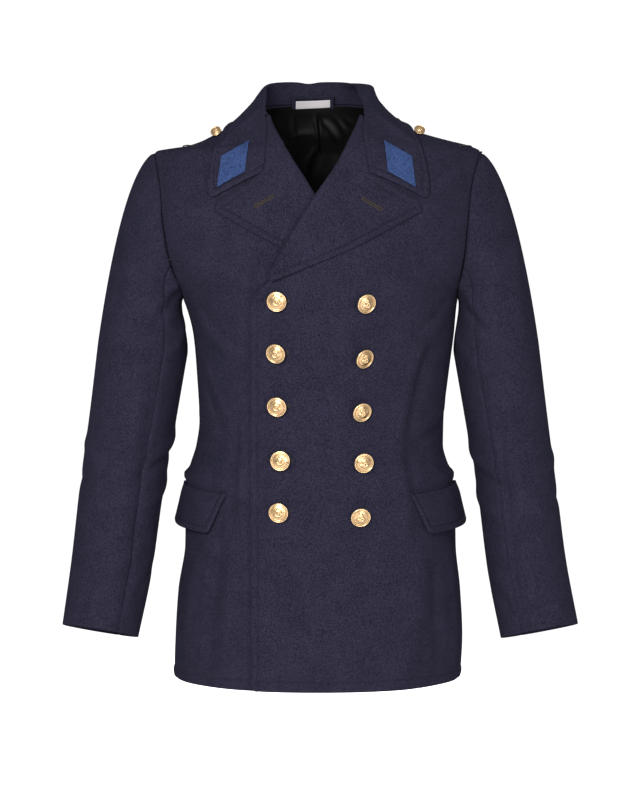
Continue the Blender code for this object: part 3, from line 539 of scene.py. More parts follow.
def mesh_object(name, points, faces, uv=None):
    """Mesh object from arrays: points in millimetres, quads, and a UV for each point."""
    data = bpy.data.meshes.new(name)
    count = len(faces)
    data.vertices.add(len(points))
    data.vertices.foreach_set("co", (points * MM).astype(np.float32).ravel())
    data.loops.add(count * 4)
    data.loops.foreach_set("vertex_index", faces.astype(np.int32).ravel())
    data.polygons.add(count)
    data.polygons.foreach_set("loop_start", np.arange(0, count * 4, 4, dtype=np.int32))
    data.update(calc_edges=True)
    if uv is not None:
        layer = data.uv_layers.new(name="UVMap")
        layer.data.foreach_set("uv", (uv[faces.ravel()] * MM).astype(np.float32).ravel())
    if data.validate():
        raise RuntimeError(f"{name}: the mesh has faces that Blender had to mend")
    data.shade_smooth()
    piece = bpy.data.objects.new(name, data)
    bpy.context.scene.collection.objects.link(piece)
    return piece


def arc(grid, axis):
    """Length along a grid's rows or columns from their first point."""
    step = np.linalg.norm(np.diff(grid, axis=axis), axis=-1)
    along = np.cumsum(step, axis=axis)
    pad = [(1, 0) if k == axis else (0, 0) for k in range(2)]
    return np.pad(along, pad)


def shell(name, middle, thickness, cells=None, rounds=3):
    """Closed cloth wall about a middle grid: the grid moved half its thickness to both sides,
    and a rim that turns round in a half circle at every border, rounds points to a turn."""
    rows, columns = middle.shape[:2]
    if cells is None:
        cells = all_cells(middle)
    normal = grid_normal(middle, cells).reshape(-1, 3)
    flat = middle.reshape(-1, 3)
    number = np.arange(rows * columns).reshape(rows, columns)
    corner = np.stack(
        [number[:-1, :-1], number[1:, :-1], number[1:, 1:], number[:-1, 1:]], -1
    )
    loops = corner[cells]
    kept = np.pad(cells, 1)
    beside = [kept[1:-1, :-2], kept[2:, 1:-1], kept[1:-1, 2:], kept[:-2, 1:-1]]
    away = np.zeros_like(flat)
    starts = []
    ends = []
    for k in range(4):
        edge = corner[cells & ~beside[k]]
        start = edge[:, k]
        end = edge[:, (k + 1) % 4]
        np.add.at(away, start, unit(flat[start] - flat[edge[:, (k + 3) % 4]]))
        np.add.at(away, end, unit(flat[end] - flat[edge[:, (k + 2) % 4]]))
        starts.append(start)
        ends.append(end)
    starts = np.concatenate(starts)
    ends = np.concatenate(ends)
    away = unit(away)
    border = np.unique(starts)
    place = np.full(len(flat), -1)
    place[border] = np.arange(len(border))

    half = thickness / 2
    total = len(flat)
    parts = [flat + normal * half, flat - normal * half]
    rings = [starts]
    end_rings = [ends]
    for k in range(1, rounds + 1):
        angle = math.pi * k / (rounds + 1)
        offset = normal[border] * math.cos(angle) + away[border] * math.sin(angle) * 0.8
        parts.append(flat[border] + offset * half)
        base = 2 * total + (k - 1) * len(border)
        rings.append(base + place[starts])
        end_rings.append(base + place[ends])
    rings.append(starts + total)
    end_rings.append(ends + total)
    faces = [loops, loops[:, ::-1] + total]
    for k in range(rounds + 1):
        faces.append(
            np.stack([end_rings[k], rings[k], rings[k + 1], end_rings[k + 1]], 1)
        )
    faces = np.concatenate(faces)
    points = np.concatenate(parts)
    uv = np.stack([arc(middle, 1), arc(middle, 0)], -1).reshape(-1, 2)
    uv = np.concatenate([uv, uv] + [uv[border]] * rounds)
    used, faces = np.unique(faces, return_inverse=True)
    piece = mesh_object(name, points[used], faces.reshape(-1, 4), uv[used])
    width = float(arc(middle, 1)[:, -1].max()) * MM
    length = float(arc(middle, 0)[-1].max()) * MM
    piece["cut"] = [width, length, cloth_area(middle, cells) * MM * MM]
    return piece


def cloth_area(middle, cells):
    """Area of a grid's kept cells: half of each cell's crossed diagonals."""
    across = np.cross(middle[1:, 1:] - middle[:-1, :-1], middle[:-1, 1:] - middle[1:, :-1])
    return float((np.linalg.norm(across, axis=-1) / 2 * cells).sum())


def own(side):
    """The wearer's side as a word, for names and columns."""
    return "left" if side > 0 else "right"


def turned(grid, side):
    """The same grid with its columns turned round on the wearer's left, so faces look out."""
    return grid[:, ::-1] if side > 0 else grid


def share_out(points, count):
    """count points evenly spaced along a line of points."""
    along = np.concatenate([[0], np.cumsum(np.linalg.norm(np.diff(points, axis=0), axis=1))])
    even = np.linspace(0, along[-1], count)
    return np.stack([np.interp(even, along, points[:, i]) for i in range(points.shape[1])], 1)


def rounded(grid, last_row, last_column, radius):
    """Rounds one corner of a grid: inside the square of side radius at the corner, a point p
    and q sides off its inner corner is drawn in by max(p, q) / hypot(p, q)."""
    work = grid[::-1] if last_row else grid
    work = work[:, ::-1] if last_column else work
    p = np.clip(1 - arc(work, 1) / radius, 0, 1)
    q = np.clip(1 - arc(work, 0) / radius, 0, 1)
    left = 1 - np.maximum(p, q) / np.maximum(np.hypot(p, q), 1e-9)
    left = np.where((p > 0) & (q > 0), left, 0)
    across = unit(np.gradient(work, axis=1)) * (radius * p * left)[..., None]
    up = unit(np.gradient(work, axis=0)) * (radius * q * left)[..., None]
    work = work + across + up
    work = work[:, ::-1] if last_column else work
    return work[::-1] if last_row else work


def from_border(grid, axis, last):
    """Length along a grid's rows or columns from their first or last point."""
    along = arc(grid, axis)
    if last:
        along = np.take(along, [-1], axis) - along
    return along


def edge_work(distance, inset):
    """How far cloth stands out beside a stitched edge: it swells between the edge and the
    stitches and sinks at them, each by exp(-(distance off / width) ** 2)."""
    swell = SWELL * np.exp(-(((distance - inset * 0.45) / (inset * 0.36)) ** 2))
    return swell - SINK * np.exp(-(((distance - inset) / GROOVE) ** 2))


def seam_dip(distance):
    """How far cloth rounds down beside a seam: depth * exp(-(distance off / width) ** 2)."""
    return SEAM_SINK * np.exp(-((distance / SEAM_WIDE) ** 2))


def gorge_dip(distance):
    """How far collar and lapel round down into the gorge, worked out as seam_dip is."""
    return GORGE_SINK * np.exp(-((distance / GORGE_WIDE) ** 2))


def inset_line(grid, facing, axis, last, inset):
    """A line inset from a border: on each row or column, the point where the length from the
    border passes inset, with the face's normal there, and whether there is such a point."""
    if axis == 0:
        grid = np.swapaxes(grid, 0, 1)
        facing = np.swapaxes(facing, 0, 1)
    if last:
        grid = grid[:, ::-1]
        facing = facing[:, ::-1]
    along = arc(grid, 1)
    row = np.arange(len(grid))
    j = np.clip((along < inset).sum(1), 1, grid.shape[1] - 1)
    span = np.maximum(along[row, j] - along[row, j - 1], 1e-6)
    t = np.clip((inset - along[row, j - 1]) / span, 0, 1)[:, None]
    points = grid[row, j - 1] * (1 - t) + grid[row, j] * t
    normal = unit(facing[row, j - 1] * (1 - t) + facing[row, j] * t)
    return points, normal, along[:, -1] > inset * 1.3


def stitch_line(grid, facing, axis, last, inset, keep):
    """The points and normals of an inset line where keep holds."""
    points, normal, _ = inset_line(grid, facing, axis, last, inset)
    return points[keep], normal[keep]


def thread_rows(lines, pitch=STITCH_PITCH):
    """Middles, directions and normals of stitches spaced pitch apart along inset lines."""
    middles = []
    ways = []
    normals = []
    for points, normal in lines:
        length = np.linalg.norm(np.diff(points, axis=0), axis=1)
        along = np.concatenate([[0], np.cumsum(length)])
        at = np.arange(pitch / 2, along[-1], pitch)
        spot = [np.interp(at, along, points[:, i]) for i in range(3)]
        ahead = [np.interp(at + 0.5, along, points[:, i]) for i in range(3)]
        behind_it = [np.interp(at - 0.5, along, points[:, i]) for i in range(3)]
        facing = [np.interp(at, along, normal[:, i]) for i in range(3)]
        middles.append(np.stack(spot, 1))
        ways.append(unit(np.stack(ahead, 1) - np.stack(behind_it, 1)))
        normals.append(unit(np.stack(facing, 1)))
    return np.concatenate(middles), np.concatenate(ways), np.concatenate(normals)


def stitches(name, middles, ways, normals, length=STITCH, radius=THREAD):
    """Stitches of thread: each is a six-sided rod with drawn-in ends that lies along its way,
    sunk a third of its width into the face."""
    angle = np.arange(6) * math.pi / 3
    along = np.repeat([-0.5, -0.32, 0.32, 0.5], 6) * length
    wide = np.repeat([0.35, 1.0, 1.0, 0.35], 6) * radius
    side = np.tile(np.cos(angle), 4) * wide
    up = np.tile(np.sin(angle), 4) * wide + radius * 0.35 - np.repeat([0.8, 0, 0, 0.8], 6) * radius
    across = np.cross(normals, ways)
    points = (
        middles[:, None]
        + ways[:, None] * along[:, None]
        + across[:, None] * side[:, None]
        + normals[:, None] * up[:, None]
    )
    k = np.arange(3)[:, None] * 6
    a = np.arange(6)[None]
    b = (a + 1) % 6
    sides = np.stack([k + a, k + b, k + b + 6, k + a + 6], -1).reshape(-1, 4)
    ends = np.array([[3, 2, 1, 0], [5, 4, 3, 0], [18, 19, 20, 21], [18, 21, 22, 23]])
    one = np.concatenate([sides, ends])
    faces = one[None] + np.arange(len(middles))[:, None, None] * 24
    return mesh_object(name, points.reshape(-1, 3), faces.reshape(-1, 4))


def on_face(lines, thickness):
    """Inset lines moved from the cloth's middle to its face."""
    return [(points + normal * thickness / 2, normal) for points, normal in lines]


def draw_in(grid, first, last, rows=False, by=0.9):
    """Pulls a grid's first and last columns, or rows, in by the roundness of its rim."""
    grid = np.swapaxes(grid, 0, 1).copy() if rows else grid.copy()
    if first:
        grid[:, 0] += unit(grid[:, 1] - grid[:, 0]) * by
    if last:
        grid[:, -1] += unit(grid[:, -2] - grid[:, -1]) * by
    return np.swapaxes(grid, 0, 1) if rows else grid


# How finely the pieces are drawn: heights up the side seam, rows above it, and columns.
LOW = np.concatenate([np.linspace(HEM, HEM + 16, 22)[:-1], np.linspace(HEM + 16, -250, 126)])
HIGH = 66
SPINE = 34
ACROSS = 64
LINING_LOW = 110
LINING_ROWS = 150


SIDE_TURN = 88  # of the side seam from the front, in degrees
SIDE_SWING = 13
ARMHOLE_FRONT = 26  # how far the armhole reaches forward of the arm's middle, in degrees
ARMHOLE_BACK = 24


def side_seam(height):
    """Turn of the side seam, which swings forward below the pockets."""
    return np.radians(SIDE_TURN - SIDE_SWING * ease(-height, 545, 720))


def armhole(around):
    """Turn and height of the armhole at an angle from its top over the front."""
    middle = (SHOULDER_POINT + UNDERARM) / 2
    tall = (SHOULDER_POINT - UNDERARM) / 2
    across = np.sin(around)
    reach = np.where(across > 0, ARMHOLE_FRONT, ARMHOLE_BACK)
    turn = 90 - reach * np.sign(across) * np.abs(across) ** 0.85
    return np.radians(turn), middle + tall * np.cos(around)


def outer_line(front):
    """Turn and height down the side seam and round the armhole, on the left."""
    around = np.linspace(math.pi, 0 if front else 2 * math.pi, HIGH + 1)
    turn, height = armhole(around)
    return np.concatenate([side_seam(LOW), turn]), np.concatenate([LOW, height])


def neck_line(first, last, count):
    """Turn and height along the neck seam between two stations."""
    stations = np.linspace(first, last, count)
    turn = np.radians(read(NECK, "turn", stations, "station"))
    return turn, read(NECK, "height", stations, "station")


def front_inner_line(side):
    """Turn and height up the front edge, the roll line and the neckline."""
    edge_x = side * read(FRONT_EDGE, "across", LOW)
    height = np.concatenate([np.linspace(-249, BREAK, 24), np.linspace(-214, -17, 60)])
    curve_x = side * read(FRONT_EDGE, "across", np.minimum(height, BREAK))
    roll_x = side * read(ROLL, "across", height) + read(ROLL, "lean", height)
    x = np.where(height <= BREAK, curve_x, roll_x)
    points = np.stack([turn_at(x, height) * side * NECK_RADIUS, height], 1)
    neck_turn, neck_height = neck_line(0.79, RIDGE_STATION, 16)
    neck = np.stack([neck_turn * NECK_RADIUS, neck_height], 1)
    upper = share_out(np.concatenate([points, neck]), HIGH + 1)
    turn = np.concatenate([turn_at(edge_x, LOW) * side, upper[:, 0] / NECK_RADIUS])
    return turn, np.concatenate([LOW, upper[:, 1]])


def front_grid(side):
    """Middle surface of a front, and its lines of stitching: straight lines in turn and height
    between the front edge or roll line and the side seam or armhole, laid on the torso."""
    inner_turn, inner_height = front_inner_line(side)
    outer_turn, outer_height = outer_line(True)
    share = np.concatenate([np.linspace(0, 0.07, 22)[:-1], np.linspace(0.07, 1, ACROSS)])
    turn = inner_turn[:, None] * (1 - share) + outer_turn[:, None] * share
    height = inner_height[:, None] * (1 - share) + outer_height[:, None] * share
    turn = turn * side
    x = ring_point(turn, height)[..., 0]
    grid = on_torso(turn, height, lap_lift(side, x, height))
    grid = draw_in(grid, True, True)
    grid = rounded(draw_in(grid, False, True, rows=True), False, False, 7.0)
    facing = grid_normal(grid, all_cells(grid)) * -side
    below_break = 1 - ease(grid[:, :1, 2], -246, -226)
    edge = from_border(grid, 1, False)
    hem = from_border(grid, 0, False)
    proud = edge_work(edge, EDGE_INSET) * below_break + edge_work(hem, HEM_INSET) * 0.8
    at_armhole = 0.4 + 0.6 * ease(grid[..., 2], -262, -236)
    proud = proud - seam_dip(from_border(grid, 1, True)) * at_armhole
    grid = grid + facing * proud[..., None]
    points, normal, _ = inset_line(grid, facing, 1, False, EDGE_INSET)
    keep = (points[:, 2] < -232) & (points[:, 2] > HEM + 4)
    hem_line = stitch_line(grid, facing, 0, False, HEM_INSET, edge[0] > EDGE_INSET)
    return grid, on_face([(points[keep], normal[keep]), hem_line], CLOTH)


def back_grid(side):
    """Middle surface and hem stitching of a back, made in the same way, to the centre seam."""
    outer_turn, outer_height = outer_line(False)
    neck_turn, neck_height = neck_line(0, RIDGE_STATION, HIGH - SPINE + 1)
    spine = np.linspace(UNDERARM, neck_height[0], SPINE + 1)[:-1]
    inner_turn = np.concatenate([np.full(len(LOW) + SPINE, math.pi), neck_turn])
    inner_height = np.concatenate([LOW, spine, neck_height])
    share = np.linspace(0, 1, ACROSS)
    turn = outer_turn[:, None] * (1 - share) + inner_turn[:, None] * share
    height = outer_height[:, None] * (1 - share) + inner_height[:, None] * share
    grid = on_torso(turn * side, height, np.zeros_like(turn))
    grid = draw_in(grid, True, True)
    grid = draw_in(grid, False, True, rows=True)
    facing = grid_normal(grid, all_cells(grid)) * -side
    at_armhole = 0.4 + 0.6 * ease(grid[..., 2], -262, -236)
    proud = edge_work(from_border(grid, 0, False), HEM_INSET) * 0.8
    proud = proud - seam_dip(from_border(grid, 1, False)) * at_armhole
    proud = proud - seam_dip(from_border(grid, 1, True)) * 0.4
    grid = grid + facing * proud[..., None]
    points, normal, _ = inset_line(grid, facing, 0, False, HEM_INSET)
    return grid, on_face([(points, normal)], CLOTH)


def lining_grid():
    """The back lining in one width: a sheet blended between the side lines, the waist and
    the shoulder and neck seams, inside both backs."""
    side_turn, side_height = outer_line(False)
    side_line = np.stack([side_turn, side_height], 1)[LINING_LOW:]
    at = np.linspace(0, len(side_line) - 1, LINING_ROWS)
    side_line = np.stack([np.interp(at, np.arange(len(side_line)), c) for c in side_line.T], 1)
    rows = LINING_ROWS
    spine_height = np.linspace(side_line[0, 1], NECK["height"][0], rows)
    spine = np.stack([np.full(rows, math.pi), spine_height], 1)
    neck = np.stack(neck_line(RIDGE_STATION, 0, 62), 1)
    shoulder = share_out(np.stack([side_line[-1], neck[0]]), 22)
    top = np.concatenate([shoulder[:-1], neck])
    across = np.linspace(0, 1, len(top))[None, :, None]
    up = np.linspace(0, 1, rows)[:, None, None]
    base = side_line[0] * (1 - across) + spine[0] * across
    corners = base * (1 - up) + (side_line[-1] * (1 - across) + spine[-1] * across) * up
    span = side_line[:, None] * (1 - across) + spine[:, None] * across
    cut = span + base * (1 - up) + top * up - corners
    below_shoulder = ease(cut[..., 1], -125, -75) * (1 - ease(cut[..., 1], -32, -6))
    depth = -(CLOTH / 2 + 1.8 * LAYER_GAP + LINING / 2) - LINING_SLACK * below_shoulder
    halves = []
    for side in (-1, 1):
        x = ring_point(cut[..., 0] * side, cut[..., 1])[..., 0]
        folds = creases(LINING_FOLDS, x, cut[..., 1]) * (1 - ease(cut[..., 1], -16, 0))
        halves.append(on_torso(cut[..., 0] * side, cut[..., 1], depth - np.maximum(folds, -1.5)))
    whole = np.concatenate([halves[0], halves[1][:, -2::-1]], 1)
    whole[-1] += unit(whole[-2] - whole[-1])
    return whole


LAPEL_ROWS = np.concatenate([np.linspace(0, 0.1, 20)[:-1], np.linspace(0.1, 1, 68)])


def lapel_grid(side):
    """Middle surface of a lapel, its kept cells, its lines of stitching and its upper face.

    Rows run from the gorge's top down the roll line to the break. The first columns are the
    half turn at the roll: points at angles on a circle between the front and the lapel. The
    part above the notch has only the columns inside the gorge."""
    strip_rows = 26
    strip_columns = 26
    roll_top = -13.0
    notch_roll = -64.5
    gap = 1.3

    roll_z = np.concatenate(
        [
            np.linspace(roll_top - 2, notch_roll, strip_rows, endpoint=False),
            notch_roll + (-213.0 - notch_roll) * LAPEL_ROWS,
        ]
    )
    roll_x = read(ROLL, "across", roll_z)
    lower_z = LAPEL_TIP[1] - 5 + (BREAK - LAPEL_TIP[1] + 5) * LAPEL_ROWS[1:]
    outer_z = np.concatenate([[LAPEL_TIP[1]], lower_z])
    outer_x = np.concatenate([[LAPEL_TIP[0]], read(LAPEL_LOWER, "across", lower_z)])

    rows = len(roll_z)
    step = (np.arange(strip_rows) / strip_rows)[:, None]
    gorge_z = roll_top - 5 + (NOTCH_HEIGHT - roll_top + 5) * step
    gorge_x = read(GORGE, "across", gorge_z) - gap
    outside = (20, 20)  # points from the notch to near the edge, and from there to it
    count = strip_columns + sum(outside) - 1
    part = np.minimum(np.arange(count) / strip_columns, 1)[None]
    strip_x = roll_x[:strip_rows, None] + (gorge_x - roll_x[:strip_rows, None]) * part
    strip_z = roll_z[:strip_rows, None] + (gorge_z - roll_z[:strip_rows, None]) * part
    start = roll_x[strip_rows]
    notch = (read(GORGE, "across", NOTCH_HEIGHT) - start) / (LAPEL_TIP[0] - start)
    spans = [
        np.linspace(0, notch, strip_columns + 1),
        np.linspace(notch, 0.85, outside[0])[1:],
        np.linspace(0.85, 1, outside[1])[1:],
    ]
    part = np.concatenate(spans)[None]
    main_x = roll_x[strip_rows:, None] + (outer_x - roll_x[strip_rows:])[:, None] * part
    main_z = roll_z[strip_rows:, None] + (outer_z - roll_z[strip_rows:])[:, None] * part
    x = np.concatenate([strip_x, main_x])
    z = np.concatenate([strip_z, main_z])

    lean = read(ROLL, "lean", z) * (1 - ease(x, 60, 120))
    from_roll = np.hypot(x - x[:, :1], z - z[:, :1])
    lift = ROLL_LIFT * (1 if side > 0 else ease(z[:, :1], -118, -88))
    lift = lift * (1 - 0.5 * ease(z[:, :1], -50, -13))
    out = LAYER + lift * np.exp(-((from_roll / ROLL_REACH) ** 2))
    top = front_point(side, side * x + lean, z, out)

    towards = unit(top[:, 0] - top[:, 1])
    normal = outward(top[:, 0])
    radius = (LAYER + lift) / 2
    centre = top[:, 0] - normal * radius
    angles = np.radians(np.linspace(150, 14, 12))[None, :, None]
    bend = (
        centre[:, None]
        + normal[:, None] * np.broadcast_to(radius, (rows, 1))[:, None] * np.cos(angles)
        + towards[:, None] * np.broadcast_to(radius, (rows, 1))[:, None] * np.sin(angles)
    )
    top[strip_rows:] = rounded(top[strip_rows:], False, True, 6.0)
    facing = grid_normal(top, all_cells(top))
    facing = facing * np.sign(-facing[..., 1:2])
    lower = from_border(top, 1, True)
    upper = np.full(lower.shape, FAR)
    upper[strip_rows:, strip_columns:] = from_border(top[strip_rows:, strip_columns:], 0, False)
    distance = np.where(np.arange(rows)[:, None] < strip_rows, FAR, np.minimum(lower, upper))
    fade = ease(from_roll, 2, 10)
    proud = edge_work(distance, EDGE_INSET) * fade
    to_gorge = from_border(top[:, : strip_columns + 1], 1, True)
    at_gorge = np.where(np.arange(rows)[:, None] < strip_rows, 1.0, 0.0)
    proud[:, : strip_columns + 1] -= gorge_dip(to_gorge) * at_gorge
    top = top + facing * proud[..., None]
    main = (slice(strip_rows, None), slice(strip_columns, None))
    points, normal, whole = inset_line(top[strip_rows:], facing[strip_rows:], 1, True, EDGE_INSET)
    keep = whole & (upper[strip_rows:, -1] > EDGE_INSET)
    lines = [(points[keep], normal[keep])]
    keep = lower[strip_rows, strip_columns:] > EDGE_INSET
    lines.append(stitch_line(top[main], facing[main], 0, False, EDGE_INSET, keep))
    lines = on_face(lines, CLOTH)
    face = (top[strip_rows:], facing[strip_rows:])
    middle = np.concatenate([bend, top], 1)
    cells = all_cells(middle)
    cells[:strip_rows, angles.shape[1] + strip_columns :] = False
    middle = middle[::-1]
    cells = cells[::-1]
    if side > 0:
        middle = middle[:, ::-1]
        cells = cells[:, ::-1]
    return middle, cells, lines, face


STAND_COLUMNS = 16


def collar_roll(side, stations):
    """Points of the collar's roll, over the stand, from the table."""
    return np.stack(
        [
            side * read(COLLAR, "across", stations, "station") + COLLAR_LEAN,
            smooth(stations, COLLAR["station"], COLLAR["back"]),
            read(COLLAR, "height", stations, "station"),
        ],
        1,
    )


def collar_half(side, stations):
    """Middle surface of half the collar: a Hermite curve up the stand from the neck seam to
    the roll, and another down the fall to the edge, for each station."""
    seam_station = np.minimum(stations, GORGE_STATION)
    seam_turn = np.radians(read(NECK, "turn", seam_station, "station")) * side
    seam = ring_point(seam_turn, read(NECK, "height", seam_station, "station"))
    normal = outward(seam)
    roll = collar_roll(side, stations)
    if side > 0:
        tuck = ease(stations, 0.1, 0.3) * (1 - ease(stations, RIDGE_STATION, 0.72))
        roll[:, 0] -= LEFT_TUCK * tuck
    past = stations > GORGE_STATION
    share = (stations[past] - GORGE_STATION) / (1 - GORGE_STATION)
    gorge_z = GORGE_TOP + (NOTCH_HEIGHT - GORGE_TOP) * share
    gorge_x = side * read(GORGE, "across", gorge_z) + read(ROLL, "lean", gorge_z)
    off_roll = read(GORGE, "across", gorge_z) - read(ROLL, "across", gorge_z)
    lift = ROLL_LIFT * (1 - 0.5 * ease(gorge_z, -50, -13))
    out = LAYER + GORGE_CLEAR + lift * np.exp(-((off_roll / ROLL_REACH) ** 2))
    roll[past] = front_point(side, gorge_x, gorge_z, out)
    start_z = np.array([GORGE_TOP])
    start_x = side * read(GORGE, "across", start_z) + read(ROLL, "lean", start_z)
    start_out = LAYER + GORGE_CLEAR + ROLL_LIFT * 0.5
    joined = front_point(side, start_x, start_z, start_out)[0]
    off = joined - collar_roll(side, np.array([GORGE_STATION]))[0]
    roll[~past] += off * ease(stations[~past], 0.62, GORGE_STATION)[:, None]

    across = side * COLLAR["edge_across"]
    row_turn = np.abs(turn_at(across, COLLAR["edge_height"]))
    row_turn = np.where(COLLAR["edge_behind"] > 0, math.pi - row_turn, row_turn)
    edge_turn = smooth(stations, COLLAR["station"], row_turn)
    edge_x = side * read(COLLAR, "edge_across", stations, "station")
    edge_height = read(COLLAR, "edge_height", stations, "station")
    ahead = np.abs(turn_at(edge_x, edge_height))
    edge_turn = np.where(stations >= RIDGE_STATION, ahead, edge_turn) * side
    edge = ring_point(edge_turn, edge_height)
    edge_normal = outward(edge)
    edge = edge + edge_normal * (LAYER + FALL_CLEAR)

    away = edge - roll
    flat = away * [1, 1, 0]
    leave = unit(flat) * 18
    laid = away - edge_normal * np.sum(away * edge_normal, 1, keepdims=True)
    calm = ease(stations, 0.56, 0.84)[:, None]
    leave = leave * (1 - calm) + away * calm
    arrive = laid * (0.9 + 0.1 * calm)

    height = np.linalg.norm(roll - seam, axis=1)[:, None]
    base = seam + np.array([0, 0, 1]) * (CLOTH * 0.5) + normal * 0.4
    rise = np.array([0.0, 0.0, 1.0]) * height * 1.15
    up = np.linspace(0, 1, STAND_COLUMNS + 1)[:-1][:, None, None]
    stand = hermite(base, rise, roll, unit(flat) * height * 0.5, up)
    down = np.concatenate([np.linspace(0, 0.8, 32)[:-1], np.linspace(0.8, 1, 26)])
    fall = hermite(roll, leave, edge, arrive, down[:, None, None])
    fall[1:] = keep_off(fall[1:], LAYER + FALL_CLEAR)
    return np.swapaxes(np.concatenate([stand, fall]), 0, 1)


def collar_grids():
    """The whole collar, its kept cells, its lines of stitching and its two halves. A soft
    crease stands in its back, right of the middle, where its top dips too."""
    stations = np.concatenate(
        [np.linspace(0, GORGE_STATION, 86), np.linspace(GORGE_STATION, 1, 54)[1:]]
    )
    left = collar_half(1, stations)
    right = collar_half(-1, stations)
    left[0] = right[0] = (left[0] + right[0]) / 2
    whole = np.concatenate([right[::-1], left[1:]], 0)
    whole = rounded(rounded(whole, False, True, 7.0), True, True, 7.0)
    cells = all_cells(whole)
    at_back = ease(whole[..., 1], 30, 60) * ease(whole[..., 2], 8, 30)
    whole[..., 2] -= 2.4 * np.exp(-(((whole[..., 0] + 13) / 11) ** 2)) * at_back
    whole[..., 1] -= 1.4 * np.exp(-(((whole[..., 0] + 13) / 3.5) ** 2)) * at_back
    facing = grid_normal(whole, cells)
    outer = from_border(whole, 1, True)
    ends_off = np.minimum(from_border(whole, 0, False), from_border(whole, 0, True))
    distance = np.minimum(outer, ends_off)
    distance[:, :STAND_COLUMNS] = FAR
    proud = edge_work(distance, EDGE_INSET)
    ends = int(np.sum(stations > GORGE_STATION))
    from_end = np.minimum(np.arange(len(whole)), np.arange(len(whole))[::-1])[:, None]
    at_gorge = ease(ends - from_end, 0, 8)
    to_gorge = from_border(whole[:, STAND_COLUMNS:], 1, False)
    swell = 0.9 * np.exp(-(((to_gorge - 3.6) / 2.2) ** 2))
    proud[:, STAND_COLUMNS:] += (swell - gorge_dip(to_gorge)) * at_gorge
    whole = whole + facing * proud[..., None]
    keep = ends_off[:, -1] > EDGE_INSET
    lines = [stitch_line(whole, facing, 1, True, EDGE_INSET, keep)]
    for last in (False, True):
        keep = outer[-1 if last else 0] > EDGE_INSET
        keep[:STAND_COLUMNS] = False
        lines.append(stitch_line(whole, facing, 0, last, EDGE_INSET, keep))
    cells[:ends, :STAND_COLUMNS] = False
    cells[-ends:, :STAND_COLUMNS] = False
    return whole, cells, on_face(lines, CLOTH), {1: left, -1: right}


def close_points(grid, fine):
    """Points all over a grid's cells, fine to a cell's side, blended between its corners."""
    rows = np.linspace(0, len(grid) - 1, (len(grid) - 1) * fine + 1)
    i = np.minimum(rows.astype(int), len(grid) - 2)
    a = (rows - i)[:, None, None]
    dense = grid[i] * (1 - a) + grid[i + 1] * a
    columns = np.linspace(0, dense.shape[1] - 1, (dense.shape[1] - 1) * fine + 1)
    j = np.minimum(columns.astype(int), dense.shape[1] - 2)
    b = (columns - j)[None, :, None]
    return (dense[:, j] * (1 - b) + dense[:, j + 1] * b).reshape(-1, 3)


def behind(points, wanted):
    """The points nearest to wanted places across and in height, put exactly there."""
    flat = wanted.reshape(-1, 2)
    seen = points[:, [0, 2]]
    nearest = [((seen - place) ** 2).sum(1).argmin() for place in flat]
    found = points[nearest].reshape(wanted.shape[:-1] + (3,))
    found[..., [0, 2]] = wanted
    return found


PATCH_THICK = 1.4


def patch_grid(side, half):
    """A rhombus between four corners seen from the front, laid on the collar's fall, and the
    lines of stitching round it."""
    fall = close_points(half[:, STAND_COLUMNS:], 3)
    u = np.linspace(0, 1, 27)[:, None, None]
    v = np.linspace(0, 1, 27)[None, :, None]
    corners = np.stack([side * PATCH["across"], PATCH["height"]], 1)
    corners[:, 0] -= 2.5
    top = corners[0] * (1 - v) + corners[1] * v
    low = corners[3] * (1 - v) + corners[2] * v
    points = behind(fall, top * (1 - u) + low * u)
    across = points[:, -1] - points[:, 0]
    down = points[-1] - points[0]
    normal = unit(np.cross(across.mean(0), down.mean(0)))
    if normal[1] > 0:
        normal = -normal
    points = points + normal * (CLOTH / 2 + 1.5)
    facing = np.broadcast_to(normal, points.shape)
    lines = []
    for axis, last in ((0, False), (0, True), (1, False), (1, True)):
        line, up, _ = inset_line(points, facing, axis, last, PATCH_INSET)
        lines.append((line[2:-2], up[2:-2]))
    if side < 0:
        points = points[:, ::-1]
    return points[::-1], on_face(lines, PATCH_THICK)


def sleeve_ring(side, height, around):
    """Sleeve section round the arm at a height of its middle line: an ellipse of the table's
    depth fore and aft and width across, square to the arm."""
    height = np.asarray(height, float)
    arm = own(side)

    def middle(h):
        across = side * read(SLEEVE, f"{arm}_across", h)
        return np.stack([across, -read(SLEEVE, "forward", h), h], -1)

    step = 4.0
    low = np.maximum(height - step, SLEEVE["height"][0])
    high = np.minimum(height + step, SLEEVE["height"][-1])
    down = unit(middle(low) - middle(high))
    inner = unit(np.array([-side, 0.0, 0.0]) - down * (down[..., :1] * -side))
    forward = np.cross(down, inner) * -side
    forward = forward * np.sign(-forward[..., 1:2])
    width = read(SLEEVE, f"{arm}_width", height)[..., None, None]
    depth = read(SLEEVE, "depth", height)[..., None, None]
    cos = np.cos(around)[:, None]
    sin = np.sin(around)[:, None]
    return (
        middle(height)[..., None, :]
        + forward[..., None, :] * depth * cos
        + inner[..., None, :] * width * sin
    ), down


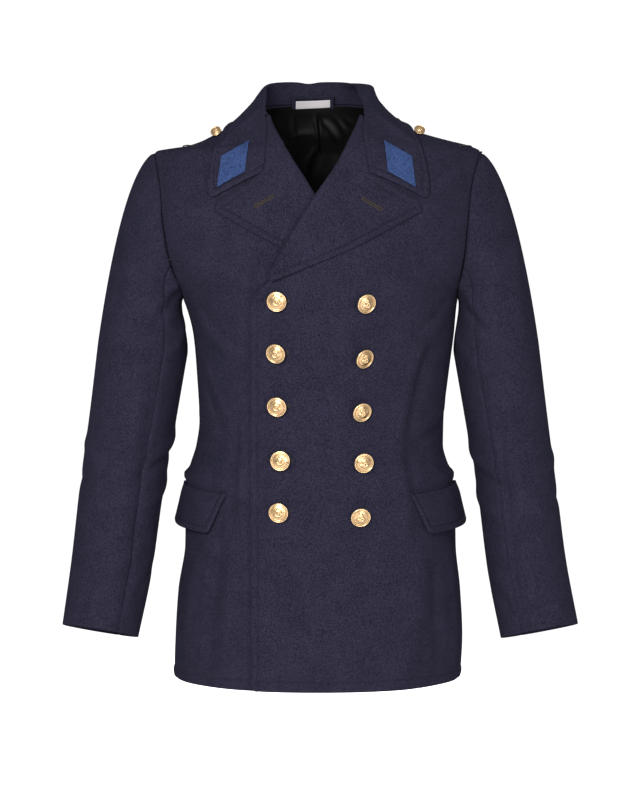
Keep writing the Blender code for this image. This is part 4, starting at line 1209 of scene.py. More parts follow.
def sleeve_grid(side, around, cap_rows, arm_rows):
    """Sleeve surface: Hermite curves from the armhole to the upper arm's section, then the
    sections down to the cuff, at angles round the arm."""
    from_top = around + math.pi / 2
    turn, height = armhole(np.mod(from_top, 2 * math.pi))
    start = ring_point(turn * side, height)
    up = np.cos(from_top)[:, None]
    fore = np.sin(from_top)[:, None]
    leave = (
        np.array(CROWN["top"]) * np.maximum(up, 0) ** 2
        + np.array(CROWN["under"]) * np.maximum(-up, 0) ** 2
        + np.array(CROWN["front"]) * np.maximum(fore, 0) ** 2
        + np.array(CROWN["back"]) * np.maximum(-fore, 0) ** 2
    )
    leave = leave * [side, 1, 1]
    start = start + unit(leave) * 1.1
    ring, down = sleeve_ring(side, SLEEVE["height"][-1], around)
    ring = ring.reshape(-1, 3)
    reach = np.linalg.norm(ring - start, axis=1, keepdims=True)
    arrive = down.reshape(1, 3) * reach
    t = np.linspace(0, 1, cap_rows + 1)[:-1][:, None, None]
    cap = hermite(start, leave, ring, arrive, t)
    heights = np.linspace(SLEEVE["height"][-1], SLEEVE["height"][0], arm_rows + 1)
    grid = np.concatenate([cap, sleeve_ring(side, heights, around)[0]], 0)
    facing = grid_normal(grid, all_cells(grid)) * -side
    degrees = (np.degrees(around) + 180) % 360 - 180
    proud = creases(SLEEVE_CREASES, degrees[None, :] + 5 * side, grid[..., 2] + 9 * side)
    proud = CREASE_DEPTH * proud - seam_dip(from_border(grid, 0, False))
    for last in (False, True):
        proud = proud - 0.5 * seam_dip(from_border(grid, 1, last))
    return grid + facing * proud[..., None]


def flap_grid(side):
    """A pocket flap and its lines of stitching: straight in turn and height between its
    corners, standing off by a power of how far down it is."""
    ends = np.linspace(0, 0.11, 18)[:-1]
    across = np.concatenate([ends, np.linspace(0.11, 0.89, 40), 1 - ends[::-1]])
    drop = np.concatenate([np.linspace(0, 0.72, 20)[:-1], np.linspace(0.72, 1, 20)])[:, None]
    shift = FLAP["left_shift" if side > 0 else "right_shift"]
    front_turn = shift + FLAP["front_top"] + (FLAP["front_bottom"] - FLAP["front_top"]) * drop
    turn = np.radians(front_turn + (FLAP["rear"] - front_turn) * across)
    height = FLAP["top"] - FLAP["drop"] * drop + 5 * across
    stand = FLAP["stand_front"] + (FLAP["stand_rear"] - FLAP["stand_front"]) * across
    out = CLOTH / 2 + 0.35 + FLAP_CLOTH / 2 + 0.85 * ease(drop, 0, 0.3) + stand * drop**1.3
    height = np.broadcast_to(height, turn.shape)
    points = ring_point(turn * side, height)
    push = outward(points)
    under = lap_lift(side, points[..., 0], height) + relief(turn * side, height) * (1 - drop)
    grid = points + push * (out + under)[..., None]
    grid = rounded(rounded(grid, True, False, 5.0), True, True, 5.0)
    facing = grid_normal(grid, all_cells(grid))
    facing = facing * np.sign((facing * push).sum(-1, keepdims=True))
    low = from_border(grid, 0, True)
    ends = np.minimum(from_border(grid, 1, False), from_border(grid, 1, True))
    grid = grid + facing * edge_work(np.minimum(low, ends), FLAP_INSET)[..., None]
    lines = [stitch_line(grid, facing, 0, True, FLAP_INSET, ends[-1] > FLAP_INSET)]
    for last in (False, True):
        lines.append(stitch_line(grid, facing, 1, last, FLAP_INSET, low[:, 0] > FLAP_INSET))
    return (grid[::-1] if side < 0 else grid[::-1, ::-1]), on_face(lines, FLAP_CLOTH)


def seat(grid, facing, wanted):
    """The points of a grid nearest to wanted places across and in height, put exactly there,
    and the face's normals at them."""
    points = close_points(grid, 4)
    normals = close_points(facing, 4)
    seen = points[:, [0, 2]]
    nearest = [((seen - place) ** 2).sum(1).argmin() for place in wanted]
    found = points[nearest]
    found[:, [0, 2]] = wanted
    return found, unit(normals[nearest])


def buttonhole(name, grid, facing, start, end):
    """A keyhole buttonhole: worked stitches square to its two edges from start to the eye and
    radial round the eye, and between them a thin dark strip, painted shade for the open slit."""
    start = np.array(start, float)
    end = np.array(end, float)
    length = np.linalg.norm(end - start)
    way = (end - start) / length
    side = np.array([-way[1], way[0]])
    at = np.arange(0.6, length - HOLE_EYE * 1.6, 0.8)[:, None]
    edges = [start + way * at + side * 1.25 * sign for sign in (-1, 1)]
    ways = [np.broadcast_to(side, edges[0].shape)] * 2
    turn = np.linspace(-2.5, 2.5, 15)[:, None]
    spoke = way * np.cos(turn) + side * np.sin(turn)
    eye = end - way * HOLE_EYE
    bar = start + side * np.array([[-1.2], [0.0], [1.2]])
    middles = np.concatenate([*edges, eye + spoke * (HOLE_EYE + 0.4), bar])
    flat = np.concatenate([*ways, spoke, np.broadcast_to(side, bar.shape)])
    points, normal = seat(grid, facing, middles)
    along = np.stack([flat[:, 0], np.zeros(len(flat)), flat[:, 1]], 1)
    along = unit(along - normal * np.sum(along * normal, 1, keepdims=True))
    worked = stitches(name, points + normal * CLOTH / 2, along, normal, 2.0, 0.42)

    # The slit is painted shade: a thin dark sheet laid just above the face.
    reach = np.linspace(1.0, length - 1.2, 24)[:, None]
    wide = np.where(reach < length - 2 * HOLE_EYE, 0.5, 1.1)
    line = start + way * reach
    rows = [seat(grid, facing, line + side * wide * k) for k in (-1, 0, 1)]
    strip = np.stack([points + normal * (CLOTH / 2 + 0.12) for points, normal in rows])
    return worked, shell(f"{name}_slit", strip, 0.3)


def tube_faces(rows, around):
    """Quads between rings of points, which close round after the last point of a ring."""
    i = np.arange(rows - 1)[:, None] * around
    j = np.arange(around)[None]
    after = (j + 1) % around
    return np.stack([i + j, i + around + j, i + around + after, i + after], -1).reshape(-1, 4)


def segment_off(x, y, x1, y1, x2, y2):
    """Distance from a straight stroke between two points."""
    along = ((x - x1) * (x2 - x1) + (y - y1) * (y2 - y1)) / ((x2 - x1) ** 2 + (y2 - y1) ** 2)
    along = np.clip(along, 0, 1)
    return np.hypot(x - x1 - along * (x2 - x1), y - y1 - along * (y2 - y1))


def anchor_off(x, y):
    """Distance outside a plain anchor with a rope round it: the least of its strokes' distances
    less their half widths, drawn for a button 25 mm wide."""
    arms = np.abs(np.hypot(x, y + 0.4) - 4.5) - 0.6
    arms = np.where(y < -1.4, arms, 9)
    parts = [
        segment_off(x, y, 0, -4.8, 0, 3.9) - 0.62,
        np.abs(np.hypot(x, y - 5.1) - 1.15) - 0.42,
        segment_off(x, y, -2.8, 3.0, 2.8, 3.0) - 0.5,
        arms,
        segment_off(x, y, -5.3, -2.3, -3.5, -0.9) - 0.6,
        segment_off(x, y, 5.3, -2.3, 3.5, -0.9) - 0.6,
    ]
    rope = np.abs(x - 2.5 * np.sin(0.95 * y + 0.4)) * 0.62 - 0.42
    parts.append(np.where(np.abs(y) < 4.2, rope, 9))
    return np.min(parts, 0)


AROUND = 72  # points round a button
DRAWN_HALF = 12.5  # half of the button that the anchor is drawn for


def button(name, point, axis, size, shank):
    """A domed button turned about its axis: a dome 1 - (r / 0.72) ** 2 with a raised anchor, a
    twisted rope ring, a round rim, a dished back and a shank. Returns it with painted shade and
    tarnish on its points: darker in its grooves and round the anchor, lighter where it stands out."""
    half = size / 2
    scale = half / DRAWN_HALF
    around = np.linspace(0, 2 * math.pi, AROUND + 1)[:-1]
    q = np.concatenate([[0.012], np.linspace(0.04, 1.0, 46)])[:, None]
    x = q * DRAWN_HALF * np.cos(around)
    y = q * DRAWN_HALF * np.sin(around)
    off_anchor = anchor_off(x * 1.08, y * 1.08)
    anchor = 1 - ease(off_anchor, -0.3, 0.35)
    twist = 0.7 + 0.3 * np.cos(26 * around + 40 * (q - 0.79))
    rope = np.exp(-(((q - 0.79) / 0.036) ** 2)) * twist
    rim = np.exp(-(((q - 0.925) / 0.06) ** 4))
    dome = 2.3 * np.clip(1 - (q / 0.74) ** 2, 0, 1)
    stipple = 0.05 * np.cos(x * 7.5) * np.cos(y * 7.5) * (q < 0.7)
    raised = 0.62 * anchor * (q < 0.72) + 0.5 * rope + 0.85 * rim
    top = 2.0 + dome + raised + stipple
    top = np.where(q >= 1, 1.6, top)
    back_q = np.array([0.985, 0.93, 0.6, SHANK_WIDTH + 0.02, SHANK_WIDTH, SHANK_WIDTH, 0.19])
    back_h = np.array([1.1, 0.75, 0.25, 0.05, -0.3, 0, 0])
    radius = np.repeat(np.concatenate([q, back_q[:, None]]), AROUND, 1) * half
    back = np.repeat(back_h[:, None], AROUND, 1) * scale + shank + BUTTON_FOOT
    back[-2] = BUTTON_FOOT + 0.2
    back[-1] = BUTTON_FOOT
    height = np.concatenate([top * scale + shank + BUTTON_FOOT, back])
    side = unit(np.cross(axis, [0.0, 0.0, 1.0]))
    over = np.cross(side, axis)
    points = (
        np.array(point)
        - side * (radius * np.cos(around))[..., None]
        + over * (radius * np.sin(around))[..., None]
        + axis * height[..., None]
    )
    rows = len(radius)
    k = np.arange(1, AROUND - 1, 2)
    cap = np.stack([np.zeros_like(k), k, k + 1, k + 2], 1)
    last = (rows - 1) * AROUND
    faces = np.concatenate([tube_faces(rows, AROUND), cap, last + cap[:, ::-1]])
    piece = mesh_object(name, points.reshape(-1, 3), faces)
    # Painted shade and tarnish: the grooves by the rope ring and the hollow round the anchor are
    # painted darker, and the raised stamping lighter, for the gilt's colour ramp.
    grooves = np.exp(-(((q - 0.86) / 0.022) ** 2)) + np.exp(-(((q - 0.735) / 0.02) ** 2))
    halo = np.exp(-(((off_anchor - 0.75) / 0.45) ** 2)) * (q < 0.72)
    shade_and_tarnish = 0.62 + 0.45 * raised - 0.75 * grooves - 0.42 * halo
    shine = np.concatenate([np.clip(shade_and_tarnish, 0, 1), np.full_like(back, 0.3)])
    layer = piece.data.attributes.new("gilt_shade_and_tarnish", "FLOAT", "POINT")
    layer.data.foreach_set("value", shine.astype(np.float32).ravel())
    return piece


def tipped(normal, tip, towards):
    """The normal turned by tip towards a direction that is seen from the front, in degrees."""
    across = unit(np.cross(normal, [0.0, 0.0, -1.0]))
    up = np.cross(normal, across)
    aim = across * math.cos(math.radians(towards)) + up * math.sin(math.radians(towards))
    return normal * math.cos(math.radians(tip)) + aim * math.sin(math.radians(tip))


def cord_tube(name, path, radius):
    """A round cord: circles of a radius square to a path of points, with drawn-in ends."""
    way = unit(np.gradient(path, axis=0))
    side = unit(np.cross(way, [0.0, 1.0, 0.05]))
    up = np.cross(side, way)
    angle = np.linspace(0, 2 * math.pi, 9)[:-1]
    wide = np.full(len(path), radius)
    wide[[0, -1]] *= 0.4
    ring = side[:, None] * np.cos(angle)[:, None] + up[:, None] * np.sin(angle)[:, None]
    points = path[:, None] + ring * wide[:, None, None]
    cap = np.array([[0, 1, 2, 3], [0, 3, 4, 5], [0, 5, 6, 7]])
    last = (len(path) - 1) * len(angle)
    faces = np.concatenate([tube_faces(len(path), len(angle)), cap, last + cap[:, ::-1]])
    return mesh_object(name, points.reshape(-1, 3), faces)


def inside_neck(x, height):
    """Points of the back neck on the side of the lining that faces the wearer's neck."""
    turn = math.pi - turn_at(np.abs(x), height) * np.sign(x)
    points = ring_point(turn, height)
    return points - outward(points) * NECK_TRIM_DEPTH


def linear(hex_colour):
    """sRGB hex to a linear RGBA tuple."""
    parts = [int(hex_colour[i : i + 2], 16) / 255 for i in (1, 3, 5)]
    parts = [c / 12.92 if c <= 0.04045 else ((c + 0.055) / 1.055) ** 2.4 for c in parts]
    return (*parts, 1.0)


def add_node(tree, kind, settings=None, inputs=None, links=None):
    """Adds a node, sets its properties and inputs, and links inputs from (node, output)."""
    made = tree.nodes.new(kind)
    for key, value in (settings or {}).items():
        setattr(made, key, value)
    for key, value in (inputs or {}).items():
        made.inputs[key].default_value = value
    for key, (source, output) in (links or {}).items():
        tree.links.new(source.outputs[output], made.inputs[key])
    return made


def new_material(name, colour, settings):
    """A material by its real name, and its tree and shader with constants set on the shader."""
    material = bpy.data.materials.new(name)
    material.use_nodes = True
    tree = material.node_tree
    shader = tree.nodes["Principled BSDF"]
    shader.inputs["Base Color"].default_value = linear(colour)
    for key, value in settings.items():
        shader.inputs[key].default_value = value
    return material, tree, shader


def melton_wool(colour, name="Melton wool, milled and brushed"):
    """Heavy woollen, felted until no weave shows: a matte face with a soft bloom at grazing
    angles from its raised fibres."""
    material, tree, shader = new_material(
        name,
        colour,
        {
            "Roughness": 0.95,
            "Specular IOR Level": 0.0,
            "Sheen Weight": 0.012,
            "Sheen Roughness": 0.5,
            "Sheen Tint": linear("#8688a0"),
        },
    )
    where = add_node(tree, "ShaderNodeTexCoord")
    # Fibre tufts are 0.3 mm wide. They are drawn 1.6 mm wide, so that they show.
    nap = add_node(
        tree,
        "ShaderNodeTexNoise",
        inputs={"Scale": 1 / (1.6 * MM), "Detail": 4.0, "Roughness": 0.75},
        links={"Vector": (where, "Object")},
    )
    mottle = add_node(
        tree,
        "ShaderNodeTexNoise",
        inputs={"Scale": 1 / (30 * MM), "Detail": 4.0, "Roughness": 0.6},
        links={"Vector": (where, "Object")},
    )
    both = add_node(
        tree,
        "ShaderNodeMath",
        settings={"operation": "MULTIPLY_ADD"},
        inputs={1: 0.14},
        links={0: (mottle, "Fac"), 2: (nap, "Fac")},
    )
    base = np.array(linear(colour))
    ramp = add_node(tree, "ShaderNodeValToRGB", links={"Fac": (both, 0)})
    ramp.color_ramp.elements[0].position = 0.46
    ramp.color_ramp.elements[0].color = (*base[:3] * 0.55, 1)
    ramp.color_ramp.elements[1].position = 0.68
    ramp.color_ramp.elements[1].color = (*base[:3] * 1.5, 1)
    tree.links.new(ramp.outputs["Color"], shader.inputs["Base Color"])
    bump = add_node(
        tree,
        "ShaderNodeBump",
        inputs={"Strength": 0.8, "Distance": 0.7 * MM},
        links={"Height": (nap, "Fac")},
    )
    tree.links.new(bump.outputs["Normal"], shader.inputs["Normal"])
    return material


def satin_lining(colour):
    """Viscose satin, woven and calendered: long floats that give a soft, stretched gloss."""
    material, tree, shader = new_material(
        "Viscose satin, woven",
        colour,
        {"Roughness": 0.55, "Specular IOR Level": 0.07, "Anisotropic": 0.2},
    )
    where = add_node(tree, "ShaderNodeTexCoord")
    # Satin yarns are 0.12 mm apart. They are drawn 0.9 mm apart, so that they show.
    yarn = add_node(
        tree,
        "ShaderNodeTexWave",
        settings={"bands_direction": "X"},
        inputs={"Scale": 1 / (0.9 * MM) / 20, "Distortion": 0.6, "Detail": 1.0},
        links={"Vector": (where, "UV")},
    )
    bump = add_node(
        tree,
        "ShaderNodeBump",
        inputs={"Strength": 0.12, "Distance": 0.2 * MM},
        links={"Height": (yarn, "Fac")},
    )
    tree.links.new(bump.outputs["Normal"], shader.inputs["Normal"])
    return material


def woven_label(colour):
    """Label ribbon, woven from fine polyester: flat, with fine ribs along its length."""
    material, tree, shader = new_material(
        "Polyester ribbon, woven", colour, {"Roughness": 0.7, "Sheen Weight": 0.1}
    )
    where = add_node(tree, "ShaderNodeTexCoord")
    # Ribs are 0.25 mm apart. They are drawn 1 mm apart, so that they show.
    rib = add_node(
        tree,
        "ShaderNodeTexWave",
        settings={"bands_direction": "Y"},
        inputs={"Scale": 1 / (1.0 * MM) / 20},
        links={"Vector": (where, "UV")},
    )
    bump = add_node(
        tree,
        "ShaderNodeBump",
        inputs={"Strength": 0.3, "Distance": 0.2 * MM},
        links={"Height": (rib, "Fac")},
    )
    tree.links.new(bump.outputs["Normal"], shader.inputs["Normal"])
    return material


def gilt_brass(colour):
    """Brass stamped and gilt: a bright warm metal, a little dulled by handling, with painted shade
    and tarnish in its hollows.
    """
    material, tree, shader = new_material(
        "Gilt brass, stamped and polished", colour, {"Metallic": 1.0, "Roughness": 0.3}
    )
    where = add_node(tree, "ShaderNodeTexCoord")
    # Handling marks come every 4 mm.
    marks = add_node(
        tree,
        "ShaderNodeTexNoise",
        inputs={"Scale": 1 / (4 * MM), "Detail": 3.0},
        links={"Vector": (where, "Object")},
    )
    dull = add_node(
        tree,
        "ShaderNodeMapRange",
        inputs={"From Min": 0.3, "From Max": 0.7, "To Min": 0.22, "To Max": 0.42},
        links={"Value": (marks, "Fac")},
    )
    tree.links.new(dull.outputs["Result"], shader.inputs["Roughness"])
    # Painted shade and tarnish: the gilt is bright where the stamping stands out and painted brown
    # in the grooves and round the anchor, where shade and dark reflections fall.
    raised = add_node(tree, "ShaderNodeAttribute", settings={"attribute_name": "gilt_shade_and_tarnish"})
    ramp = add_node(tree, "ShaderNodeValToRGB", links={"Fac": (raised, "Fac")})
    base = np.array(linear(colour))
    ramp.color_ramp.elements[0].color = (*base[:3] * np.array([0.2, 0.14, 0.07]), 1)
    ramp.color_ramp.elements[1].position = 0.9
    ramp.color_ramp.elements[1].color = (*base[:3], 1)
    tree.links.new(ramp.outputs["Color"], shader.inputs["Base Color"])
    return material


def sewing_thread(colour, name="Polyester thread, twisted"):
    """Polyester thread or silk twist: plies that give a low shine along each stitch."""
    material, tree, shader = new_material(
        name, colour, {"Roughness": 0.7, "Specular IOR Level": 0.1}
    )
    where = add_node(tree, "ShaderNodeTexCoord")
    # Plies turn every 0.3 mm. They are drawn 0.8 mm long, so that they show.
    plies = add_node(
        tree,
        "ShaderNodeTexWave",
        settings={"bands_direction": "DIAGONAL"},
        inputs={"Scale": 1 / (0.8 * MM) / 20},
        links={"Vector": (where, "Object")},
    )
    bump = add_node(
        tree,
        "ShaderNodeBump",
        inputs={"Strength": 0.4, "Distance": 0.1 * MM},
        links={"Height": (plies, "Fac")},
    )
    tree.links.new(bump.outputs["Normal"], shader.inputs["Normal"])
    return material


def painted_board(colour):
    """Studio floor of painted board: flat and without gloss."""
    return new_material("Painted board, matte", colour, {"Roughness": 0.9})[0]


MATERIALS = {}


def material(kind):
    """The material of a kind, made once from the panel's colours."""
    cloth = bpy.context.scene.coat_cloth
    trim = bpy.context.scene.coat_trim
    if kind not in MATERIALS:
        MATERIALS[kind] = {
            "wool": lambda: melton_wool(cloth.wool_hex),
            "patch": lambda: melton_wool(trim.patch_hex, "Patch felt, milled"),
            "lining": lambda: satin_lining(cloth.lining_hex),
            "label": lambda: woven_label(trim.label_hex),
            "gilt": lambda: gilt_brass(trim.gilt_hex),
            "thread": lambda: sewing_thread(cloth.thread_hex),
            "silk": lambda: sewing_thread(cloth.buttonhole_hex, "Silk twist, plied"),
            "patch_thread": lambda: sewing_thread(trim.patch_hex, "Cotton thread, twisted"),
            "floor": lambda: painted_board(bpy.context.scene.coat_stage.floor_hex),
        }[kind]()
    return MATERIALS[kind]


def dress(piece, kind, slot, *nodes):
    """Gives a piece its material, and lets it ride on the coat for its solids, which it hides. The
    slot argument is not used.
    """
    piece.data.materials.append(material(kind))
    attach(piece, "root")
    if nodes:
        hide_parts(*nodes)
    return piece


def sew(piece):
    """Drops a cloth piece's cut: its length, at least SMALLEST_CUT, and its area, at most width
    times length, are worked out and not used.
    """
    width, length, area = piece["cut"]
    length = max(length, SMALLEST_CUT)
    area = min(area, width * length)
    del piece["cut"]
    return piece


def cloth_piece(name, grid, thickness, lines=None, cells=None):
    """Makes a wool piece that stands for the solid of its name, and its lines of stitching."""
    piece = shell(f"cloth_{name}", grid, thickness, cells)
    dress(piece, "wool", "melton", name)
    sew(piece)
    if lines is not None:
        dress(stitches(f"thread_{name}", *thread_rows(lines)), "thread", "melton")


def worked_hole(name, grid, facing, start, end):
    """Makes a buttonhole of silk with a dark strip in its slit, painted shade for the opening."""
    worked, slit = buttonhole(f"buttonhole_{name}", grid, facing, start, end)
    dress(worked, "silk", "melton")
    dress(slit, "thread", "melton")
    del slit["cut"]


class CoatCloth(bpy.types.PropertyGroup):
    """Cloths of the coat."""

    wool_hex: bpy.props.StringProperty(
        name="Wool", description="Colour of the heavy wool, as sRGB hex", default="#15141d"
    )
    lining_hex: bpy.props.StringProperty(
        name="Lining", description="Colour of the satin lining, as sRGB hex", default="#020202"
    )
    thread_hex: bpy.props.StringProperty(
        name="Thread", description="Colour of the sewing thread, as sRGB hex", default="#060609"
    )
    buttonhole_hex: bpy.props.StringProperty(
        name="Buttonholes",
        description="Colour of the worked holes, as sRGB hex",
        default="#221c18",
    )


class CoatTrim(bpy.types.PropertyGroup):
    """Buttons, patches and label."""

    gilt_hex: bpy.props.StringProperty(
        name="Gilt", description="Colour of the gilt buttons, as sRGB hex", default="#ab906d"
    )
    patch_hex: bpy.props.StringProperty(
        name="Patch", description="Colour of the collar patches, as sRGB hex", default="#1c2741"
    )
    label_hex: bpy.props.StringProperty(
        name="Label", description="Colour of the bare neck label, as sRGB hex", default="#777476"
    )
    button: bpy.props.FloatProperty(
        name="Button", description="Width of a front button", default=0.025, unit="LENGTH"
    )
    shoulder_button: bpy.props.FloatProperty(
        name="Shoulder button",
        description="Width of a shoulder button",
        default=0.0145,
        unit="LENGTH",
    )


class CoatStage(bpy.types.PropertyGroup):
    """Floor and light."""

    floor_hex: bpy.props.StringProperty(
        name="Floor", description="Colour of the floor, as sRGB hex", default="#fbfbfb"
    )
    floor_height: bpy.props.FloatProperty(
        name="Floor height",
        description="Height of the floor under the coat's neck",
        default=-1.4,
        unit="LENGTH",
    )
    key_power: bpy.props.FloatProperty(
        name="Key light", description="Power of the large front light", default=230.0, unit="POWER"
    )


class COAT_OT_fronts(bpy.types.Operator):
    """Makes the two fronts with their stitching, buttonholes and gilt buttons"""

    bl_idname = "coat.fronts"
    bl_label = "Fronts and buttons"

    def execute(self, context):
        for side in (-1, 1):
            grid, lines = front_grid(side)
            cloth_piece(f"front_{own(side)}", turned(grid, side), CLOTH, lines=lines)
        facing = grid_normal(grid, all_cells(grid)) * -1
        for i, (x, z) in enumerate(zip(BUTTONS["right_across"], BUTTONS["right_height"])):
            ends = (x + HOLE_LENGTH / 2, z), (x - HOLE_LENGTH / 2, z)
            worked_hole(f"front_{i + 1}", grid, facing, *ends)
        for side in ("left", "right"):
            for i in range(len(BUTTONS["right_across"])):
                place = np.array([[BUTTONS[f"{side}_across"][i], BUTTONS[f"{side}_height"][i]]])
                point = seat(grid, facing, place)[0][0]
                normal = outward(point)
                tip = BUTTONS[f"{side}_tip"][i]
                axis = tipped(normal, tip, BUTTONS[f"{side}_towards"][i])
                size = context.scene.coat_trim.button / MM
                lift = CLOTH / 2 + size / 2 * SHANK_WIDTH * math.sin(math.radians(tip))
                node = f"button_{side}_{i + 1}"
                piece = button(f"gilt_{node}", point + normal * lift, axis, size, BUTTON_SHANK)
                dress(piece, "gilt", "gilt", node)
        return {"FINISHED"}


class COAT_OT_backs(bpy.types.Operator):
    """Makes the two backs, which meet at the centre seam"""

    bl_idname = "coat.backs"
    bl_label = "Backs"

    def execute(self, context):
        for side in (-1, 1):
            grid, lines = back_grid(side)
            cloth_piece(f"back_{own(side)}", turned(grid, side), CLOTH, lines=lines)
        return {"FINISHED"}


class COAT_OT_lapels(bpy.types.Operator):
    """Makes the two lapels, rolled out of the fronts, with their buttonholes"""

    bl_idname = "coat.lapels"
    bl_label = "Lapels"

    def execute(self, context):
        for side in (-1, 1):
            name = f"lapel_{own(side)}"
            middle, cells, lines, face = lapel_grid(side)
            cloth_piece(name, middle, CLOTH, lines, cells)
            worked_hole(name, *face, *LAPEL_HOLES[side])
        return {"FINISHED"}


class COAT_OT_collar(bpy.types.Operator):
    """Makes the collar and the two blue patches on its fall"""

    bl_idname = "coat.collar"
    bl_label = "Collar and patches"

    def execute(self, context):
        whole, cells, lines, halves = collar_grids()
        cloth_piece("collar", whole, CLOTH, lines, cells)
        for side in (-1, 1):
            name = f"patch_{own(side)}"
            grid, lines = patch_grid(side, halves[side])
            piece = shell(f"cloth_{name}", grid, PATCH_THICK)
            dress(piece, "patch", "patch_cloth", name)
            sew(piece)
            piece = stitches(f"thread_{name}", *thread_rows(lines, 2.6), 1.9, 0.26)
            dress(piece, "patch_thread", "patch_cloth")
        return {"FINISHED"}


class COAT_OT_shoulders(bpy.types.Operator):
    """Makes the small shoulder buttons, and the thread loops that hold a shoulder board"""

    bl_idname = "coat.shoulders"
    bl_label = "Shoulder buttons and loops"

    def execute(self, context):
        size = context.scene.coat_trim.shoulder_button / MM
        for side, (x, height) in SHOULDER_BUTTONS.items():
            point = ring_point(turn_at(x, height), height)
            normal = outward(point)
            axis = unit(normal + np.array([0.0, -1.0, 0.0]))
            slant = np.linalg.norm(np.cross(normal, axis))
            foot = point + normal * (CLOTH / 2 + size / 2 * SHANK_WIDTH * slant)
            node = f"shoulder_button_{own(side)}"
            piece = button(f"gilt_{node}", foot, axis, size, SHOULDER_SHANK)
            dress(piece, "gilt", "gilt", node)
            turns = np.radians(np.linspace(66, 84, 15)) * side
            lift = CLOTH / 2 + 0.3 + 1.2 * np.sin(np.linspace(0, math.pi, 15))
            loop = cord_tube(
                f"thread_loop_{own(side)}", on_torso(turns, np.full(15, -49.5), lift), 0.7
            )
            dress(loop, "silk", "melton")
        return {"FINISHED"}


class COAT_OT_sleeves(bpy.types.Operator):
    """Makes the upper and under sleeves"""

    bl_idname = "coat.sleeves"
    bl_label = "Sleeves"

    def execute(self, context):
        half_gap = 0.016
        for side in (-1, 1):
            for part in ("upper", "under"):
                if part == "upper":
                    start, end, count = BACK_SEAM, FRONT_SEAM + 2 * math.pi, 84
                else:
                    start, end, count = FRONT_SEAM, BACK_SEAM, 44
                around = np.linspace(start + half_gap, end - half_gap, count)
                grid = sleeve_grid(side, around, 66, 120)
                grid = grid[:, ::-1] if side < 0 else grid
                cloth_piece(f"sleeve_{own(side)}_{part}", grid, CLOTH)
        return {"FINISHED"}


class COAT_OT_flaps(bpy.types.Operator):
    """Makes the two pocket flaps"""

    bl_idname = "coat.flaps"
    bl_label = "Pocket flaps"

    def execute(self, context):
        for side in (-1, 1):
            grid, lines = flap_grid(side)
            cloth_piece(f"flap_{own(side)}", grid, FLAP_CLOTH, lines)
        return {"FINISHED"}


class COAT_OT_lining(bpy.types.Operator):
    """Makes the back lining, the bare label and the hanger loop"""

    bl_idname = "coat.lining"
    bl_label = "Lining, label and loop"

    def execute(self, context):
        piece = shell("satin_back", lining_grid(), LINING)
        dress(piece, "lining", "lining", "lining_back")
        sew(piece)

        x = np.linspace(LABEL["right"], LABEL["left"], 40)
        middle = np.linspace(LABEL["low_end"], LABEL["high_end"], 40)
        up = np.linspace(-0.5, 0.5, 9)[:, None] * LABEL["tall"]
        grid = inside_neck(np.broadcast_to(x, (9, 40)), middle + up)
        piece = shell("ribbon_label", grid, LABEL["thick"])
        dress(piece, "label", "label_cloth", "neck_label")
        sew(piece)

        clear, tape = LOOP["clear"], LOOP["tape"]
        left = LABEL["left"] + clear
        right = LABEL["right"] - clear
        top = LABEL["high_end"] + LABEL["tall"] / 2 + clear
        x = np.concatenate(
            [
                np.linspace(right - tape, right, 4)[:-1],
                np.linspace(right, left, 40),
                np.linspace(left, left + tape, 4)[1:],
            ]
        )
        legs = np.linspace(LOOP["end"], top, 10)
        height = np.concatenate([legs, top + tape * np.array([0.33, 0.66, 1.0])])
        shape = (len(height), len(x))
        grid = inside_neck(np.broadcast_to(x, shape), np.broadcast_to(height[:, None], shape))
        cells = all_cells(grid)
        cells[: len(legs) - 1, 3:-3] = False
        piece = shell("tape_loop", grid, LOOP["thick"], cells)
        dress(piece, "wool", "melton", "hanger_loop")
        del piece["cut"]
        return {"FINISHED"}


# The photograph's camera, and what the lamps point at, in metres and pixels.
CAMERA_PLACE = (0.0019, -3.0, -0.1354)
LIT_POINT = (0.0, 0.0, -0.35)
SENSOR = 36
PHOTO_HEIGHT = 800
FOCAL_PIXELS = 2326
PIXELS_DOWN = 185  # from the camera's own height to the middle of the picture


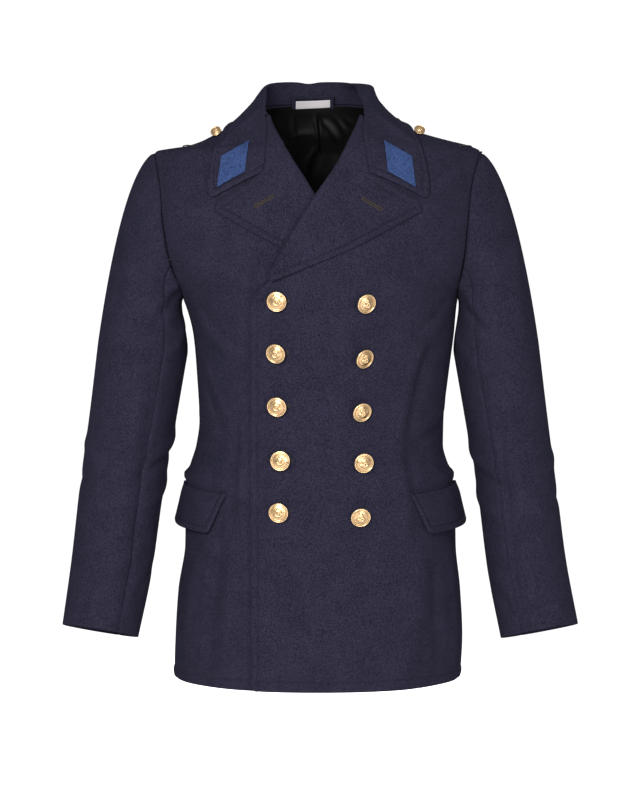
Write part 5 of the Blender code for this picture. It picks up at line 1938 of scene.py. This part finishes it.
class COAT_OT_stage(bpy.types.Operator):
    """Sets the floor, the soft lights and the camera"""

    bl_idname = "coat.stage"
    bl_label = "Stage"

    def execute(self, context):
        scene = context.scene
        settings = scene.coat_stage
        reach = 12000.0
        low = settings.floor_height / MM
        square = ((-1, -1), (1, -1), (1, 1), (-1, 1))
        corners = np.array([[x * reach, y * reach, low] for x, y in square])
        floor = mesh_object("floor", corners, np.array([[0, 1, 2, 3]]))
        floor.data.materials.append(material("floor"))

        world = bpy.data.worlds.new("Studio")
        scene.world = world
        world.use_nodes = True
        sky = world.node_tree.nodes["Background"]
        sky.inputs["Color"].default_value = linear("#ffffff")
        sky.inputs["Strength"].default_value = 1.05

        lights = (
            ("key", (-0.8, -3.0, 0.7), 1.1, settings.key_power),
            ("fill", (1.4, -2.9, 0.0), 1.6, settings.key_power * 0.35),
            ("rear key", (1.0, 3.0, 0.6), 1.3, settings.key_power * 0.8),
        )
        for name, place, size, power in lights:
            lamp = bpy.data.lights.new(name, "AREA")
            lamp.shape = "DISK"
            lamp.size = size
            lamp.energy = power
            holder = bpy.data.objects.new(name, lamp)
            scene.collection.objects.link(holder)
            holder.location = place
            aim = np.array(LIT_POINT) - np.array(place)
            flat = math.hypot(aim[0], aim[1])
            holder.rotation_euler = Euler(
                (math.atan2(flat, -aim[2]), 0, math.atan2(aim[1], aim[0]) - math.pi / 2)
            )

        camera = bpy.data.cameras.new("camera")
        camera.sensor_fit = "VERTICAL"
        camera.sensor_height = SENSOR
        camera.lens = SENSOR * FOCAL_PIXELS / PHOTO_HEIGHT
        camera.clip_end = 100
        holder = bpy.data.objects.new("camera", camera)
        scene.collection.objects.link(holder)
        holder.location = CAMERA_PLACE
        holder.rotation_euler = Euler((math.pi / 2 - math.atan(PIXELS_DOWN / FOCAL_PIXELS), 0, 0))
        scene.camera = holder
        scene.view_settings.view_transform = "Standard"
        return {"FINISHED"}


OPERATORS = (
    COAT_OT_fronts,
    COAT_OT_backs,
    COAT_OT_lapels,
    COAT_OT_collar,
    COAT_OT_shoulders,
    COAT_OT_sleeves,
    COAT_OT_flaps,
    COAT_OT_lining,
    COAT_OT_stage,
)


class COAT_PT_panel(bpy.types.Panel):
    """Lists the coat's pieces and sizes in the sidebar"""

    bl_label = "Naval coat"
    bl_idname = "COAT_PT_panel"
    bl_space_type = "VIEW_3D"
    bl_region_type = "UI"
    bl_category = "Coat"

    def draw(self, context):
        layout = self.layout
        for group in (context.scene.coat_cloth, context.scene.coat_trim, context.scene.coat_stage):
            box = layout.box()
            for key in group.bl_rna.properties.keys():
                if key not in ("rna_type", "name"):
                    box.prop(group, key)
        for made in OPERATORS:
            layout.operator(made.bl_idname)


GROUPS = {"coat_cloth": CoatCloth, "coat_trim": CoatTrim, "coat_stage": CoatStage}


def register():
    for kind in (*GROUPS.values(), *OPERATORS, COAT_PT_panel):
        bpy.utils.register_class(kind)
    for name, group in GROUPS.items():
        setattr(bpy.types.Scene, name, bpy.props.PointerProperty(type=group))


def unregister():
    for name in GROUPS:
        delattr(bpy.types.Scene, name)
    for kind in (COAT_PT_panel, *OPERATORS, *GROUPS.values()):
        bpy.utils.unregister_class(kind)


def main():
    register()
    for made in OPERATORS:
        group, name = made.bl_idname.split(".")
        result = getattr(getattr(bpy.ops, group), name)()
        if result != {"FINISHED"}:
            raise RuntimeError(f"{made.bl_label} did not finish")
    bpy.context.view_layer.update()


if __name__ == "__main__":
    main()
